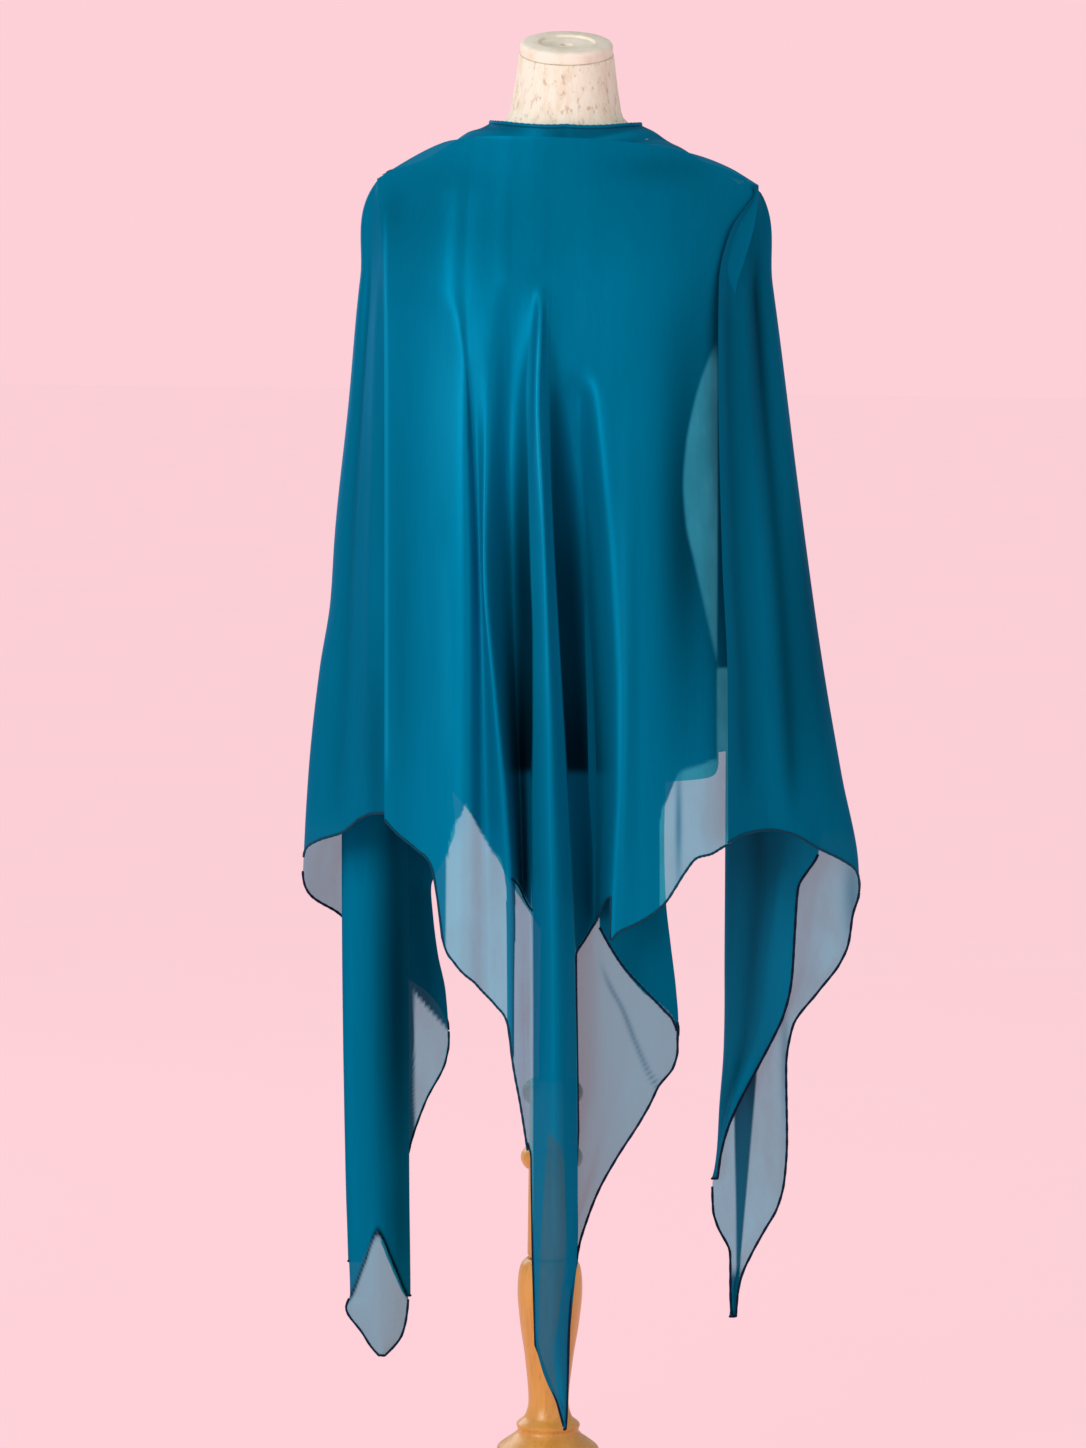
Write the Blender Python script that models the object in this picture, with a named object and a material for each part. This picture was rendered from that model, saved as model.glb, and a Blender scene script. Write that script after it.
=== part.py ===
"""A large square silk satin scarf, draped like a poncho over a limbless dress form on a turned stand.

The front elevation is drawn in millimetres on a sheet: across from its left edge, down from its top edge.
Each fold line of the cloth says where it runs across and how deep it lies, at each distance down.
Depth is along +Y, away from the viewer, and 0 at the stand's axis. The floor is at Z = 0.
"""

import math

import bmesh
import bpy
import numpy as np

MM = 0.001

# The drawing sheet and the point it is drawn from
AXIS_ACROSS_TOP = 567.0
AXIS_LEAN = 0.0134
FLOOR_DOWN = 1522.0
EYE_DISTANCE = 5700.0
EYE_ACROSS = -18.0
EYE_HEIGHT = 1320.0

# Cloth
WALL = 1.2
SEAM_GAP = 0.7

# Dress form
FORM_BOTTOM_DOWN = 770.0
FORM_SIDES = 24
FORM_ROUNDNESS = 2.3
CAP_TILT_DEG = 16.0
CAP_RADIUS = 47.0
CAP_RECESS_RADIUS = 28.0
CAP_RECESS_DEPTH = 2.5
SCREW_HOLE_RADIUS = 6.0
SCREW_HOLE_DEPTH = 6.0

# Stand
POLE_RADIUS = 14.0
COLUMN_RADIUS = 23.0
COLLAR_RADIUS = 30.5
BALUSTER_RADIUS = 32.5
BASE_RADIUS = 150.0
BASE_THICKNESS = 24.0
TURNED_SIDES = 20


class Table:
    """Named columns read by the first one, with a smooth monotone curve between the rows."""

    def __init__(self, **columns):
        self.keys = list(columns)
        self.at = np.array(columns[self.keys[0]], float)
        self.values = {k: np.array(columns[k], float) for k in self.keys[1:]}
        self.slopes = {k: self.slopes_of(v) for k, v in self.values.items()}

    def slopes_of(self, value):
        step = np.diff(self.at)
        rise = np.diff(value) / step
        slope = np.zeros(len(value))
        if len(rise) == 1:
            return slope + rise[0]
        same = rise[:-1] * rise[1:] > 0
        mean = (step[:-1] + step[1:]) / (
            step[:-1] / np.where(same, rise[1:], 1) + step[1:] / np.where(same, rise[:-1], 1)
        )
        slope[1:-1] = np.where(same, mean, 0)
        slope[0], slope[-1] = rise[0], rise[-1]
        return slope

    def read(self, key, at):
        at = np.clip(at, self.at[0], self.at[-1])
        i = np.clip(np.searchsorted(self.at, at, side="right") - 1, 0, len(self.at) - 2)
        step = self.at[i + 1] - self.at[i]
        t = (at - self.at[i]) / step
        value, slope = self.values[key], self.slopes[key]
        return (
            (2 * t**3 - 3 * t**2 + 1) * value[i]
            + (t**3 - 2 * t**2 + t) * step * slope[i]
            + (3 * t**2 - 2 * t**3) * value[i + 1]
            + (t**3 - t**2) * step * slope[i + 1]
        )


def world(across, down, depth):
    """The place of a point of the drawing that lies at this depth, in metres."""
    near = (EYE_DISTANCE + depth) / EYE_DISTANCE
    x = across - (AXIS_ACROSS_TOP - AXIS_LEAN * (down - 60))
    z = FLOOR_DOWN - down
    return np.array(
        [EYE_ACROSS + (x - EYE_ACROSS) * near, depth, EYE_HEIGHT + (z - EYE_HEIGHT) * near]
    ) * MM


def line(down, across, depth):
    return Table(down=down, across=across, depth=depth)


# Fold lines of the front fall, from the viewer's left to right
FRONT = (
    line((180, 266, 330, 560, 811, 830), (379, 385, 386, 386, 385.6, 386), (-22, -52, -64, -82, -93, -94)),
    line((141, 200, 290, 330, 450, 560, 970), (455, 442, 440, 452, 458, 459, 456),
         (-54, -84, -110, -120, -132, -138, -146)),
    line((138, 200, 300, 400, 560, 1010), (478, 472, 468, 474, 480, 489), (-68, -94, -117, -126, -130, -136)),
    line((138, 300, 400, 560, 700, 810, 932, 1095), (498, 494, 490, 486, 497, 507, 513, 513),
         (-76, -119, -130, -142, -148, -150, -150, -148)),
    line((138, 300, 420, 560, 700, 810, 1152), (514, 512, 510, 512, 517, 521, 528),
         (-80, -120, -122, -116, -113, -112, -112)),
    line((138, 305, 450, 560, 640, 1190, 1296, 1343, 1366, 1388, 1402, 1416, 1431),
         (531, 532, 527, 530, 533, 533, 535, 536, 541, 549, 557, 561, 564),
         (-82, -123, -136, -140, -141, -141, -142, -143, -144, -146, -148, -149, -150)),
    line((138, 240, 305, 340, 400, 560, 780, 1118, 1221, 1296, 1343, 1388, 1416, 1431),
         (545, 542, 541.5, 540, 538, 545, 551, 556, 556, 553.5, 553, 559, 564, 565.5),
         (-84, -104, -128, -140, -152, -162, -164, -166, -166, -160, -158, -153, -151, -150)),
    line((138, 305, 400, 500, 640, 780, 867, 1040, 1118, 1221, 1263, 1287, 1338, 1385, 1431),
         (560, 551, 549, 553, 560, 568, 572, 577, 578, 578, 577, 573, 569, 568.5, 567),
         (-83, -124, -136, -141, -142, -142, -142, -142, -142, -142, -143, -143, -144, -147, -150)),
    line((139, 305, 400, 560, 700, 860, 955), (580, 574, 576, 585, 592, 595, 594),
         (-81, -120, -121, -114, -112, -112, -112)),
    line((140, 305, 400, 560, 700, 780, 856, 893, 945), (602, 598, 600, 612, 618, 617.7, 614.5, 612.7, 610),
         (-79, -124, -136, -146, -149, -150, -150, -150, -150)),
    line((146, 260, 330, 560, 925), (644, 640, 640, 642, 642), (-64, -108, -121, -137, -142)),
    line((160, 200, 260, 330, 560, 870), (700, 697, 692, 688, 690, 690), (-44, -68, -92, -104, -114, -120)),
    line((187, 210, 250, 305, 560, 700, 842), (749, 744, 731, 724, 727, 731, 731),
         (-22, -36, -52, -64, -80, -88, -95)),
)

# Fold lines of the turn set back between the front fall and the front's right side
SET_BACK = (
    line((430, 640, 1221, 1263, 1286), (562, 564, 566, 568, 570.5), (-110, -110, -111, -118, -124)),
    line((430, 640, 898, 1018, 1064, 1118, 1190, 1221, 1263, 1286), (590, 606, 618, 622, 618, 602, 583, 577, 573, 571.6),
         (-109, -109, -110, -110, -110, -111, -112, -114, -118, -124)),
    line((430, 640, 700, 898, 943, 986, 1018, 1047, 1064, 1084, 1101, 1119, 1157, 1190, 1221, 1244, 1268, 1286),
         (618, 654, 662, 666, 671, 676, 678, 678, 674, 659, 651, 641, 617, 599, 587, 580, 576, 573),
         (-102, -102, -103, -104, -104, -104, -104, -104, -104, -105, -106, -107, -110, -112, -115, -117, -120, -124)),
    line((700, 770, 860, 958, 1040, 1084), (658, 652, 634, 638, 656, 659), (-98, -98, -96, -93, -93, -94)),
    line((700, 770, 800, 860, 958, 1003, 1040, 1073, 1084), (652, 640, 618, 600, 601, 621, 636, 651, 656),
         (-99, -99, -98, -96, -93, -92, -92, -93, -93)),
)

# Fold lines round the left side, from the front, round the shoulder to the back, and into the tail
LEFT = (
    line((188, 266, 330, 560, 816), (383, 392, 393, 392, 392), (-10, -28, -40, -60, -74)),
    line((176, 187, 280, 405, 540, 700, 836), (388, 380, 373, 365, 358, 352, 345),
         (-6, -7, -16, -26, -34, -40, -44)),
    line((171, 175, 186, 280, 405, 540, 600, 669, 770, 815, 875),
         (401, 391, 377.5, 362, 350, 336, 332, 321, 310, 307, 304), (0, 1, 2, 4, 5, 6, 6, 6, 8, 8, 8)),
    line((171, 184, 280, 405, 560, 832, 920), (399, 383, 372, 362, 352, 345, 343), (16, 24, 52, 58, 62, 66, 66)),
    line((170, 182, 240, 405, 560, 832, 970), (410, 402, 400, 398, 396, 395, 393), (34, 48, 82, 92, 95, 95, 93)),
    line((178, 240, 405, 560, 786, 828, 852, 888, 914, 953, 992, 1042, 1060, 1101, 1136, 1181, 1204, 1231,
          1249, 1272, 1297),
         (430, 430, 431, 434, 452, 456, 448, 432, 434, 439, 447, 450, 447, 427, 414, 402, 393, 377,
          367, 358, 353),
         (62, 94, 105, 108, 108, 107, 106, 104, 103, 102, 101, 98, 97, 92, 86, 80, 77, 74, 72, 70, 68)),
    line((300, 560, 786, 900, 1042, 1136, 1204, 1249, 1297), (389, 390, 396, 392, 396, 379, 369, 358, 351.7),
         (64, 68, 72, 68, 66, 64, 62, 60, 58)),
    line((300, 560, 833, 1080, 1150, 1197, 1244, 1298, 1311, 1336, 1355, 1359),
         (370, 356, 343, 344, 345, 346, 348, 350, 346, 362, 375, 379),
         (30, 36, 46, 48, 48, 48, 48, 48, 48, 46, 44, 43)),
    line((300, 560, 700, 833, 1080, 1221, 1301, 1336, 1359), (380, 374, 374, 378, 378, 379, 379, 381, 381.5),
         (16, 24, 28, 34, 34, 34, 36, 38, 40)),
    line((300, 560, 700, 833, 1221, 1301, 1317, 1338, 1356, 1359),
         (389, 384, 388, 408, 410, 408.5, 407, 402, 388, 385), (32, 42, 46, 50, 50, 50, 49, 47, 44, 43)),
    line((300, 560, 833, 1150, 1231, 1256, 1284, 1300), (382, 376, 383, 382, 394, 399, 405, 408),
         (42, 46, 54, 54, 54, 54, 54, 54)),
    line((300, 560, 833, 1150, 1215, 1231, 1256, 1284, 1300), (380, 367, 358, 357, 368, 377, 387, 399, 406.5),
         (36, 39, 48, 50, 50, 51, 52, 53, 53)),
)

# Fold lines round the right side, from the front edge, round the shoulder to the back, and into the tail
RIGHT = (
    line((193, 230, 280, 330, 560, 670, 838), (753, 729, 718, 717.5, 722, 727, 728),
         (-27.8, -64, -80, -90, -104, -110, -114)),
    line((194, 280, 330, 560, 770, 828), (757, 741, 743, 757, 769, 772), (-18, -46, -54, -64, -70, -72)),
    line((180, 194, 280, 330, 560, 770, 843), (744, 759.5, 761, 765, 789, 808, 815), (-6, -9, -24, -28, -36, -40, -41)),
    line((171, 178, 192, 280, 316, 494, 540, 678, 770, 861, 886, 908, 940, 958, 986, 1023, 1062, 1134, 1179, 1205,
          1228, 1252, 1272, 1288, 1316),
         (729.7, 743, 760.5, 772, 777, 799, 805, 825, 841, 858, 859, 853, 848, 840, 819, 793, 787, 788, 785, 778,
          765, 752, 743, 739, 736.5),
         (0, 1, 2, 4, 4, 6, 6, 8, 8, 8, 10, 12, 14, 15, 18, 24, 28, 32, 36, 38, 42, 46, 50, 54, 56)),
    line((180, 196, 280, 560, 886, 958, 1023, 1134, 1228, 1252, 1316), (742, 750, 758, 776, 790, 782, 758, 754, 742, 741, 735),
         (16, 30, 46, 54, 58, 60, 60, 60, 60, 60, 58)),
    line((184, 200, 280, 560, 838, 1040, 1105, 1167, 1182, 1209, 1223, 1252, 1299, 1316),
         (725, 728, 726, 727, 726, 724, 721, 717, 713, 714, 718, 731, 731.5, 733),
         (36, 58, 72, 80, 76, 70, 68, 66, 65, 64, 63, 62, 60, 59)),
    line((300, 560, 838, 949, 1031, 1103, 1156, 1178), (744, 752, 768, 758, 750, 729, 719, 715.6),
         (44, 36, 34, 38, 44, 50, 56, 60)),
    line((300, 560, 800, 845, 884, 927, 975, 1016, 1031, 1068, 1103, 1127, 1156, 1178),
         (754, 776, 822, 819, 798, 795, 792, 782, 775, 756, 738, 728, 721, 718.5),
         (26, 14, 12, 14, 20, 24, 28, 34, 36, 42, 47, 51, 55, 58)),
)

# Fold lines of the back fall, from the viewer's left to right
BACK = (
    line((176, 240, 405, 560, 800), (404, 382, 376, 372, 366), (54, 84, 92, 96, 98)),
    line((157, 168, 240, 405, 560, 800), (452, 450, 446, 446, 448, 450), (57, 70, 106, 118, 122, 124)),
    line((146, 164, 240, 326, 405, 560, 900), (512, 511, 508, 508, 508, 510, 511), (73, 80, 98, 116, 122, 128, 132)),
    line((145, 162, 240, 280, 326, 405, 700, 960), (564, 564, 562, 562, 562, 562, 562, 562),
         (74, 81, 95, 106.5, 115, 123, 131, 134)),
    line((146, 164, 240, 326, 405, 560, 910), (616, 617, 618, 618, 618, 620, 622), (73, 80, 98, 116, 122, 128, 132)),
    line((157, 170, 240, 405, 560, 800), (678, 680, 688, 690, 694, 700), (57, 70, 104, 116, 120, 122)),
    line((186, 240, 405, 560, 800), (744, 758, 774, 788, 806), (46, 64, 72, 74, 74)),
)

# Where each stretch starts and ends, by fold line number
FRONT_TOP = Table(fold=(0, 1, 2, 3, 4, 6, 8, 9, 10, 11, 12), down=(182, 143, 139, 138, 138, 138, 139, 140, 146, 158, 188))
FRONT_LEFT_HEM = Table(
    fold=(0, 0.16, 0.41, 0.61, 0.71, 0.78, 0.97, 1.57, 2.28, 2.72, 3, 3.5, 4),
    down=(820, 833, 849, 866, 905, 940, 962, 984, 1005, 1021, 1060, 1105, 1150),
)
FRONT_FALL_HEM = Table(fold=(4, 4.6, 5, 6, 7, 7.25, 8), down=(1150, 1220, 1430, 1431, 1430, 1010, 952))
FRONT_RIGHT_HEM = Table(
    fold=(8, 9, 9.3, 9.86, 10.53, 10.72, 10.88, 11.17, 11.5, 11.9, 12),
    down=(951, 938, 930, 921, 898, 883, 870, 854, 850, 841, 840),
)
LEFT_DRAPE_HEM = Table(fold=(0, 0.36, 0.64, 1, 1.55, 1.85, 2), down=(813, 814, 819, 832, 842, 850, 858))
LEFT_BACK_HEM = Table(fold=(2, 2.2, 3, 3.48, 4, 4.6, 4.85, 5), down=(873, 888, 917, 940, 966, 995, 1016, 1030))
RIGHT_DRAPE_HEM = Table(fold=(0, 0.4, 1, 1.5, 2, 2.5, 2.85, 3), down=(838, 829, 825, 829, 841, 855, 870, 886))
BACK_HEM = Table(
    fold=(0, 1, 1.28, 1.6, 2, 2.34, 3.2, 3.5, 3.8, 4.05, 4.3, 4.6, 5.05, 5.5, 6),
    down=(765, 786, 807, 836, 878, 906, 953, 925, 890, 822, 800, 778, 750, 744, 748),
)


def level(down, first, last):
    return Table(fold=(first, last), down=(down, down))


class Fall:
    """Cloth that runs smoothly across its fold lines. A place on it is a fold number and a distance down."""

    def __init__(self, lines):
        self.lines = lines

    def place(self, fold, down):
        """Cubic through the four nearest fold lines."""
        last = len(self.lines) - 1
        i = int(min(max(math.floor(fold), 0), last - 1))
        t = fold - i
        ends = []
        for n in (i - 1, i, i + 1, i + 2):
            near = self.lines[min(max(n, 0), last)]
            ends.append(np.array([near.read("across", down), near.read("depth", down)]))
        if i == 0:
            ends[0] = 2 * ends[1] - ends[2]
        if i + 2 > last:
            ends[3] = 2 * ends[2] - ends[1]
        a, b, c, d = ends
        out = 0.5 * (
            2 * b + (c - a) * t + (2 * a - 5 * b + 4 * c - d) * t**2 + (3 * b - 3 * c + d - a) * t**3
        )
        return world(out[0], down, out[1])

    def facing(self, fold, down):
        """The unit normal of the cloth, and its width for each fold number."""
        e, h = 0.02, 2.0
        side = self.place(fold + e, down) - self.place(fold - e, down)
        fall = self.place(fold, down + h) - self.place(fold, down - h)
        normal = np.cross(side, fall)
        return normal / np.linalg.norm(normal), np.linalg.norm(side) / (2 * e)

    def grid(self, first, last, top, hem, columns, rows, seams):
        """Points and normals of one stretch: a column for each place between the folds, a row for each step down."""
        points, normals = [], []
        for c in range(columns):
            column_points, column_normals = [], []
            for r in range(rows):
                fold = first + (last - first) * c / (columns - 1)
                high, low = float(top.read("down", fold)), float(hem.read("down", fold))
                down = high + (low - high) * r / (rows - 1)
                width = self.facing(fold, down)[1]
                inset = 0.5 * SEAM_GAP * MM / width
                if c == 0 and seams[0]:
                    fold += inset
                if c == columns - 1 and seams[1]:
                    fold -= inset
                column_points.append(self.place(fold, down))
                column_normals.append(self.facing(fold, down)[0])
            points.append(column_points)
            normals.append(column_normals)
        return np.array(points), np.array(normals)


def material(name, color, roughness):
    made = bpy.data.materials.new(name)
    made.use_nodes = True
    shader = made.node_tree.nodes["Principled BSDF"]
    shader.inputs["Base Color"].default_value = (*color, 1)
    shader.inputs["Roughness"].default_value = roughness
    shader.inputs["Metallic"].default_value = 0
    return made


def add_object(name, mesh, look):
    obj = bpy.data.objects.new(name, mesh)
    bpy.context.scene.collection.objects.link(obj)
    obj.data.materials.append(look)
    return obj


def wall(name, points, normals, look, closed=False):
    """A thin solid from a grid of points, half its thickness to each side of them."""
    half = 0.5 * WALL * MM
    columns, rows = points.shape[:2]
    mesh = bmesh.new()
    out = [[mesh.verts.new(p) for p in col] for col in points + normals * half]
    back = [[mesh.verts.new(p) for p in col] for col in points - normals * half]
    spans = columns if closed else columns - 1
    for c in range(spans):
        n = (c + 1) % columns
        for r in range(rows - 1):
            mesh.faces.new((out[c][r], out[n][r], out[n][r + 1], out[c][r + 1]))
            mesh.faces.new((back[c][r], back[c][r + 1], back[n][r + 1], back[n][r]))
        mesh.faces.new((out[c][0], back[c][0], back[n][0], out[n][0]))
        mesh.faces.new((out[c][-1], out[n][-1], back[n][-1], back[c][-1]))
    if not closed:
        for r in range(rows - 1):
            mesh.faces.new((out[0][r], out[0][r + 1], back[0][r + 1], back[0][r]))
            mesh.faces.new((out[-1][r], back[-1][r], back[-1][r + 1], out[-1][r + 1]))
    bmesh.ops.recalc_face_normals(mesh, faces=mesh.faces)
    data = bpy.data.meshes.new(name)
    mesh.to_mesh(data)
    mesh.free()
    data.shade_smooth()
    data.set_sharp_from_angle(angle=math.radians(50))
    return add_object(name, data, look)


def loft(name, rings, look):
    """A solid through closed rings of points, with flat ends."""
    mesh = bmesh.new()
    loops = [[mesh.verts.new(p) for p in ring] for ring in rings]
    for low, high in zip(loops, loops[1:]):
        for i in range(len(low)):
            n = (i + 1) % len(low)
            mesh.faces.new((low[i], low[n], high[n], high[i]))
    mesh.faces.new(loops[0])
    mesh.faces.new(loops[-1])
    bmesh.ops.recalc_face_normals(mesh, faces=mesh.faces)
    data = bpy.data.meshes.new(name)
    mesh.to_mesh(data)
    mesh.free()
    data.shade_smooth()
    data.set_sharp_from_angle(angle=math.radians(40))
    return add_object(name, data, look)


def turned(name, profile, look, sides=TURNED_SIDES):
    """A solid of revolution about the stand's axis, from rows of radius and height in millimetres."""
    angles = [2 * math.pi * i / sides for i in range(sides)]
    rings = [
        [(r * math.cos(a) * MM, r * math.sin(a) * MM, z * MM) for a in angles] for r, z in profile
    ]
    return loft(name, rings, look)


def height(down):
    return FLOOR_DOWN - down


# The form's sections, from the neck's top to the hips
FORM = Table(
    down=(56, 100, 120, 129, 137.1, 144.1, 162.9, 171, 186, 200, 240, 280, 326, 396, 473, 530, 563, 620, 700, 770),
    half_width=(47, 53, 58, 72, 90, 106, 138, 155, 174, 176, 170, 163, 155, 137, 122.5, 128, 136, 150, 160, 161),
    half_depth=(47, 52, 55, 56, 56, 60, 66, 69, 73, 78, 92, 104, 112, 108, 96, 97, 100, 104, 106, 106),
)


def form_ring(down, lift=0.0, tilt=0.0):
    a, b = FORM.read("half_width", down) + lift, FORM.read("half_depth", down) + lift
    ring = []
    for i in range(FORM_SIDES):
        angle = 2 * math.pi * i / FORM_SIDES
        c, s = math.cos(angle), math.sin(angle)
        power = 2 / FORM_ROUNDNESS if down > 130 else 1
        x = a * math.copysign(abs(c) ** power, c)
        y = b * math.copysign(abs(s) ** power, s)
        ring.append((x * MM, y * MM, (height(down) + y * math.tan(tilt)) * MM))
    return ring


def build_form(linen, iron):
    """The padded torso with its neck, cut off aslant at the top, and the turned disc in that end."""
    tilt = math.radians(CAP_TILT_DEG)
    downs = [770, 764, 700, 630, 570, 520, 473, 435, 396, 360, 326, 285, 240]
    downs += [200, 187, 178, 169, 160, 150, 142, 136, 130, 124, 100]
    rings = [form_ring(d, -4 if d == FORM_BOTTOM_DOWN else 0) for d in downs]
    rings += [form_ring(80, 0, 0.5 * tilt), form_ring(60, 0, tilt), form_ring(56, -0.6, tilt)]
    loft("form_torso", rings, linen)

    top = height(52.6)
    disc = []
    profile = (
        (CAP_RADIUS - 3, -2.8),
        (CAP_RADIUS - 1, -1),
        (CAP_RADIUS - 1, 6),
        (CAP_RADIUS - 5, 9),
        (CAP_RECESS_RADIUS, 9),
        (CAP_RECESS_RADIUS - 0.6, 9 - CAP_RECESS_DEPTH),
        (SCREW_HOLE_RADIUS, 9 - CAP_RECESS_DEPTH),
        (SCREW_HOLE_RADIUS, 9 - CAP_RECESS_DEPTH - SCREW_HOLE_DEPTH),
    )
    for r, z in profile:
        ring = []
        for i in range(FORM_SIDES):
            angle = 2 * math.pi * i / FORM_SIDES
            x, y = r * math.cos(angle), r * math.sin(angle)
            ring.append((
                x * MM,
                (y * math.cos(tilt) - z * math.sin(tilt)) * MM,
                (top + y * math.sin(tilt) + z * math.cos(tilt)) * MM,
            ))
        disc.append(ring)
    loft("form_neck_cap", disc, iron)


def arc_profile(radius, low, high, rows, neck):
    """Radius and height of a turned ball between two heights, on a neck of this radius."""
    out = []
    for i in range(rows + 1):
        t = i / rows
        out.append((neck + (radius - neck) * math.sin(math.pi * t) ** 0.6, low + (high - low) * t))
    return out


def build_stand(wood, metal):
    """From the top: pole, collar and column with two balls, baluster with ring and disc, base plate."""
    gap = 0.3
    collar_top, collar_low = height(1078), height(1102)
    turned("stand_pole", [(POLE_RADIUS, collar_top + gap), (POLE_RADIUS, height(FORM_BOTTOM_DOWN) - gap)], metal)
    column_low = height(1258)
    profile = [(COLUMN_RADIUS - 4, column_low), (COLUMN_RADIUS, column_low + 4), (COLUMN_RADIUS, height(1170))]
    profile += arc_profile(COLLAR_RADIUS + 0.5, height(1168), height(1145), 6, COLUMN_RADIUS)
    profile += [(COLUMN_RADIUS, height(1140)), (COLUMN_RADIUS, collar_low - 4)]
    profile += arc_profile(COLLAR_RADIUS, collar_low, collar_top - 2, 6, COLUMN_RADIUS)
    profile += [(COLUMN_RADIUS - 5, collar_top)]
    turned("stand_column", profile, wood)
    baluster = Table(
        down=(1258.3, 1262, 1270, 1290, 1320, 1360, 1403, 1418, 1426, 1431, 1436, 1441, 1450, 1460, 1470, 1479),
        radius=(24, 28, 31, 32.5, 30, 24, 20.2, 24, 31.9, 30.5, 34, 41, 51, 52, 47, 42),
    )
    profile = [(float(baluster.read("radius", d)), height(d)) for d in baluster.at[::-1]]
    profile += [(22.0, height(1258.3) + 0.0)]
    turned("stand_baluster", profile, wood)
    plate_top = height(1479) - gap
    profile = [
        (BASE_RADIUS - 3, 0),
        (BASE_RADIUS, 3),
        (BASE_RADIUS, BASE_THICKNESS - 8),
        (BASE_RADIUS - 4, BASE_THICKNESS - 2),
        (BASE_RADIUS - 14, BASE_THICKNESS),
        (70, BASE_THICKNESS + 4),
        (52, plate_top),
    ]
    turned("stand_base", profile, wood, 40)


# The ridge of the shoulders under the scarf, and how far forward the neck wrap reaches below the front fold
RIDGE = Table(half=(0, 60, 76, 92, 108, 140, 164), down=(128, 130, 133, 136.2, 143.2, 162, 170.6))
WRAP_FRONT = Table(half=(0, 45, 70, 92, 112, 140, 164), depth=(-77, -71, -60, -50, -42, -28, -17))
WRAP_BACK = Table(half=(0, 45, 70, 92, 112, 140, 164), depth=(72, 71, 68, 62, 56, 40, 20))


def build_neck_wrap(cloth):
    """The scarf's turn round the neck: a standing edge that spreads on to both shoulders."""
    sides, steps = 36, 6
    points = np.zeros((sides, steps, 3))
    for i in range(sides):
        angle = 2 * math.pi * i / sides
        c, s = math.cos(angle), math.sin(angle)
        low, high = 60.0, 164.0
        for _ in range(40):
            mid = 0.5 * (low + high)
            edge = WRAP_BACK if s > 0 else WRAP_FRONT
            reach = float(edge.read("depth", abs(mid * c)))
            inside = abs(mid * s) < abs(reach)
            low, high = (mid, high) if inside else (low, mid)
        reach = 0.5 * (low + high)
        inner = 66 + 8 * abs(c)
        for r in range(steps):
            t = r / (steps - 1)
            radius = inner + (reach - inner) * t**1.2
            x, y = radius * c, radius * s
            ridge = float(RIDGE.read("down", abs(x)))
            drop = 13 * (y / 70) ** 2
            stand = (15 + 3 * s) * max(0, 1 - t / 0.4) ** 1.5
            points[i, r] = world(x + AXIS_ACROSS_TOP - AXIS_LEAN * 75, ridge + drop - stand, y)
            points[i, r, 0] = x * MM
    normals = np.zeros_like(points)
    for i in range(sides):
        for r in range(steps):
            along = points[i, min(r + 1, steps - 1)] - points[i, max(r - 1, 0)]
            around = points[(i + 1) % sides, r] - points[i - 1, r]
            n = np.cross(around, along)
            normals[i, r] = n / np.linalg.norm(n)
    wall("scarf_neck_wrap", points, normals, cloth, closed=True)


def build_scarf(cloth):
    """Each stretch of the one cloth that shows: name, fall, first and last fold, top, hem, columns, rows, seams."""
    front, left, right, back, set_back = Fall(FRONT), Fall(LEFT), Fall(RIGHT), Fall(BACK), Fall(SET_BACK)
    side_top = Table(fold=(0, 1, 2, 3, 4, 5), down=(189, 177, 171.2, 172, 171, 179))
    tail_top = level(302, 5, 11)
    right_top = Table(fold=(0, 1, 2, 3, 4, 5), down=(194, 195, 181, 171.3, 181, 185))
    back_top = Table(fold=(0, 1, 2, 3, 4, 5, 6), down=(177, 158, 147, 146, 147, 158, 187))
    stretches = (
        ("scarf_front_left", front, 0, 4, FRONT_TOP, FRONT_LEFT_HEM, 15, 20, (False, True)),
        ("scarf_front_fall", front, 4, 8, FRONT_TOP, FRONT_FALL_HEM, 13, 26, (True, True)),
        ("scarf_front_right", front, 8, 12, FRONT_TOP, FRONT_RIGHT_HEM, 13, 18, (True, False)),
        ("scarf_front_set_back", set_back, 0, 2, level(432, 0, 2), level(1285, 0, 2), 7, 20, (False, True)),
        ("scarf_front_turn", set_back, 2.03, 4, level(702, 2, 4), level(1040, 2, 4), 6, 12, (True, False)),
        ("scarf_left_drape", left, 0, 2, side_top, LEFT_DRAPE_HEM, 9, 14, (False, True)),
        ("scarf_left_back", left, 2, 5, side_top, LEFT_BACK_HEM, 11, 16, (True, True)),
        ("scarf_left_tail_inner", left, 5, 7, tail_top, level(1264, 5, 7), 7, 18, (True, True)),
        ("scarf_left_tail_front", left, 7, 9, tail_top, level(1359, 7, 9), 7, 20, (True, True)),
        ("scarf_left_tail_turn", left, 9, 11, tail_top, level(1298, 9, 11), 6, 16, (True, False)),
        ("scarf_right_drape", right, 0, 3, right_top, RIGHT_DRAPE_HEM, 11, 15, (False, True)),
        ("scarf_right_tail_back", right, 3, 5, right_top, level(1315, 3, 5), 8, 25, (True, True)),
        ("scarf_right_tail_front", right, 5, 7, level(302, 5, 7), level(1176, 5, 7), 7, 18, (True, False)),
        ("scarf_back", back, 0, 6, back_top, BACK_HEM, 16, 15, (False, False)),
    )
    for name, fall, first, last, top, hem, columns, rows, seams in stretches:
        points, normals = fall.grid(first, last, top, hem, columns, rows, seams)
        wall(name, points, normals, cloth)


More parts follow.
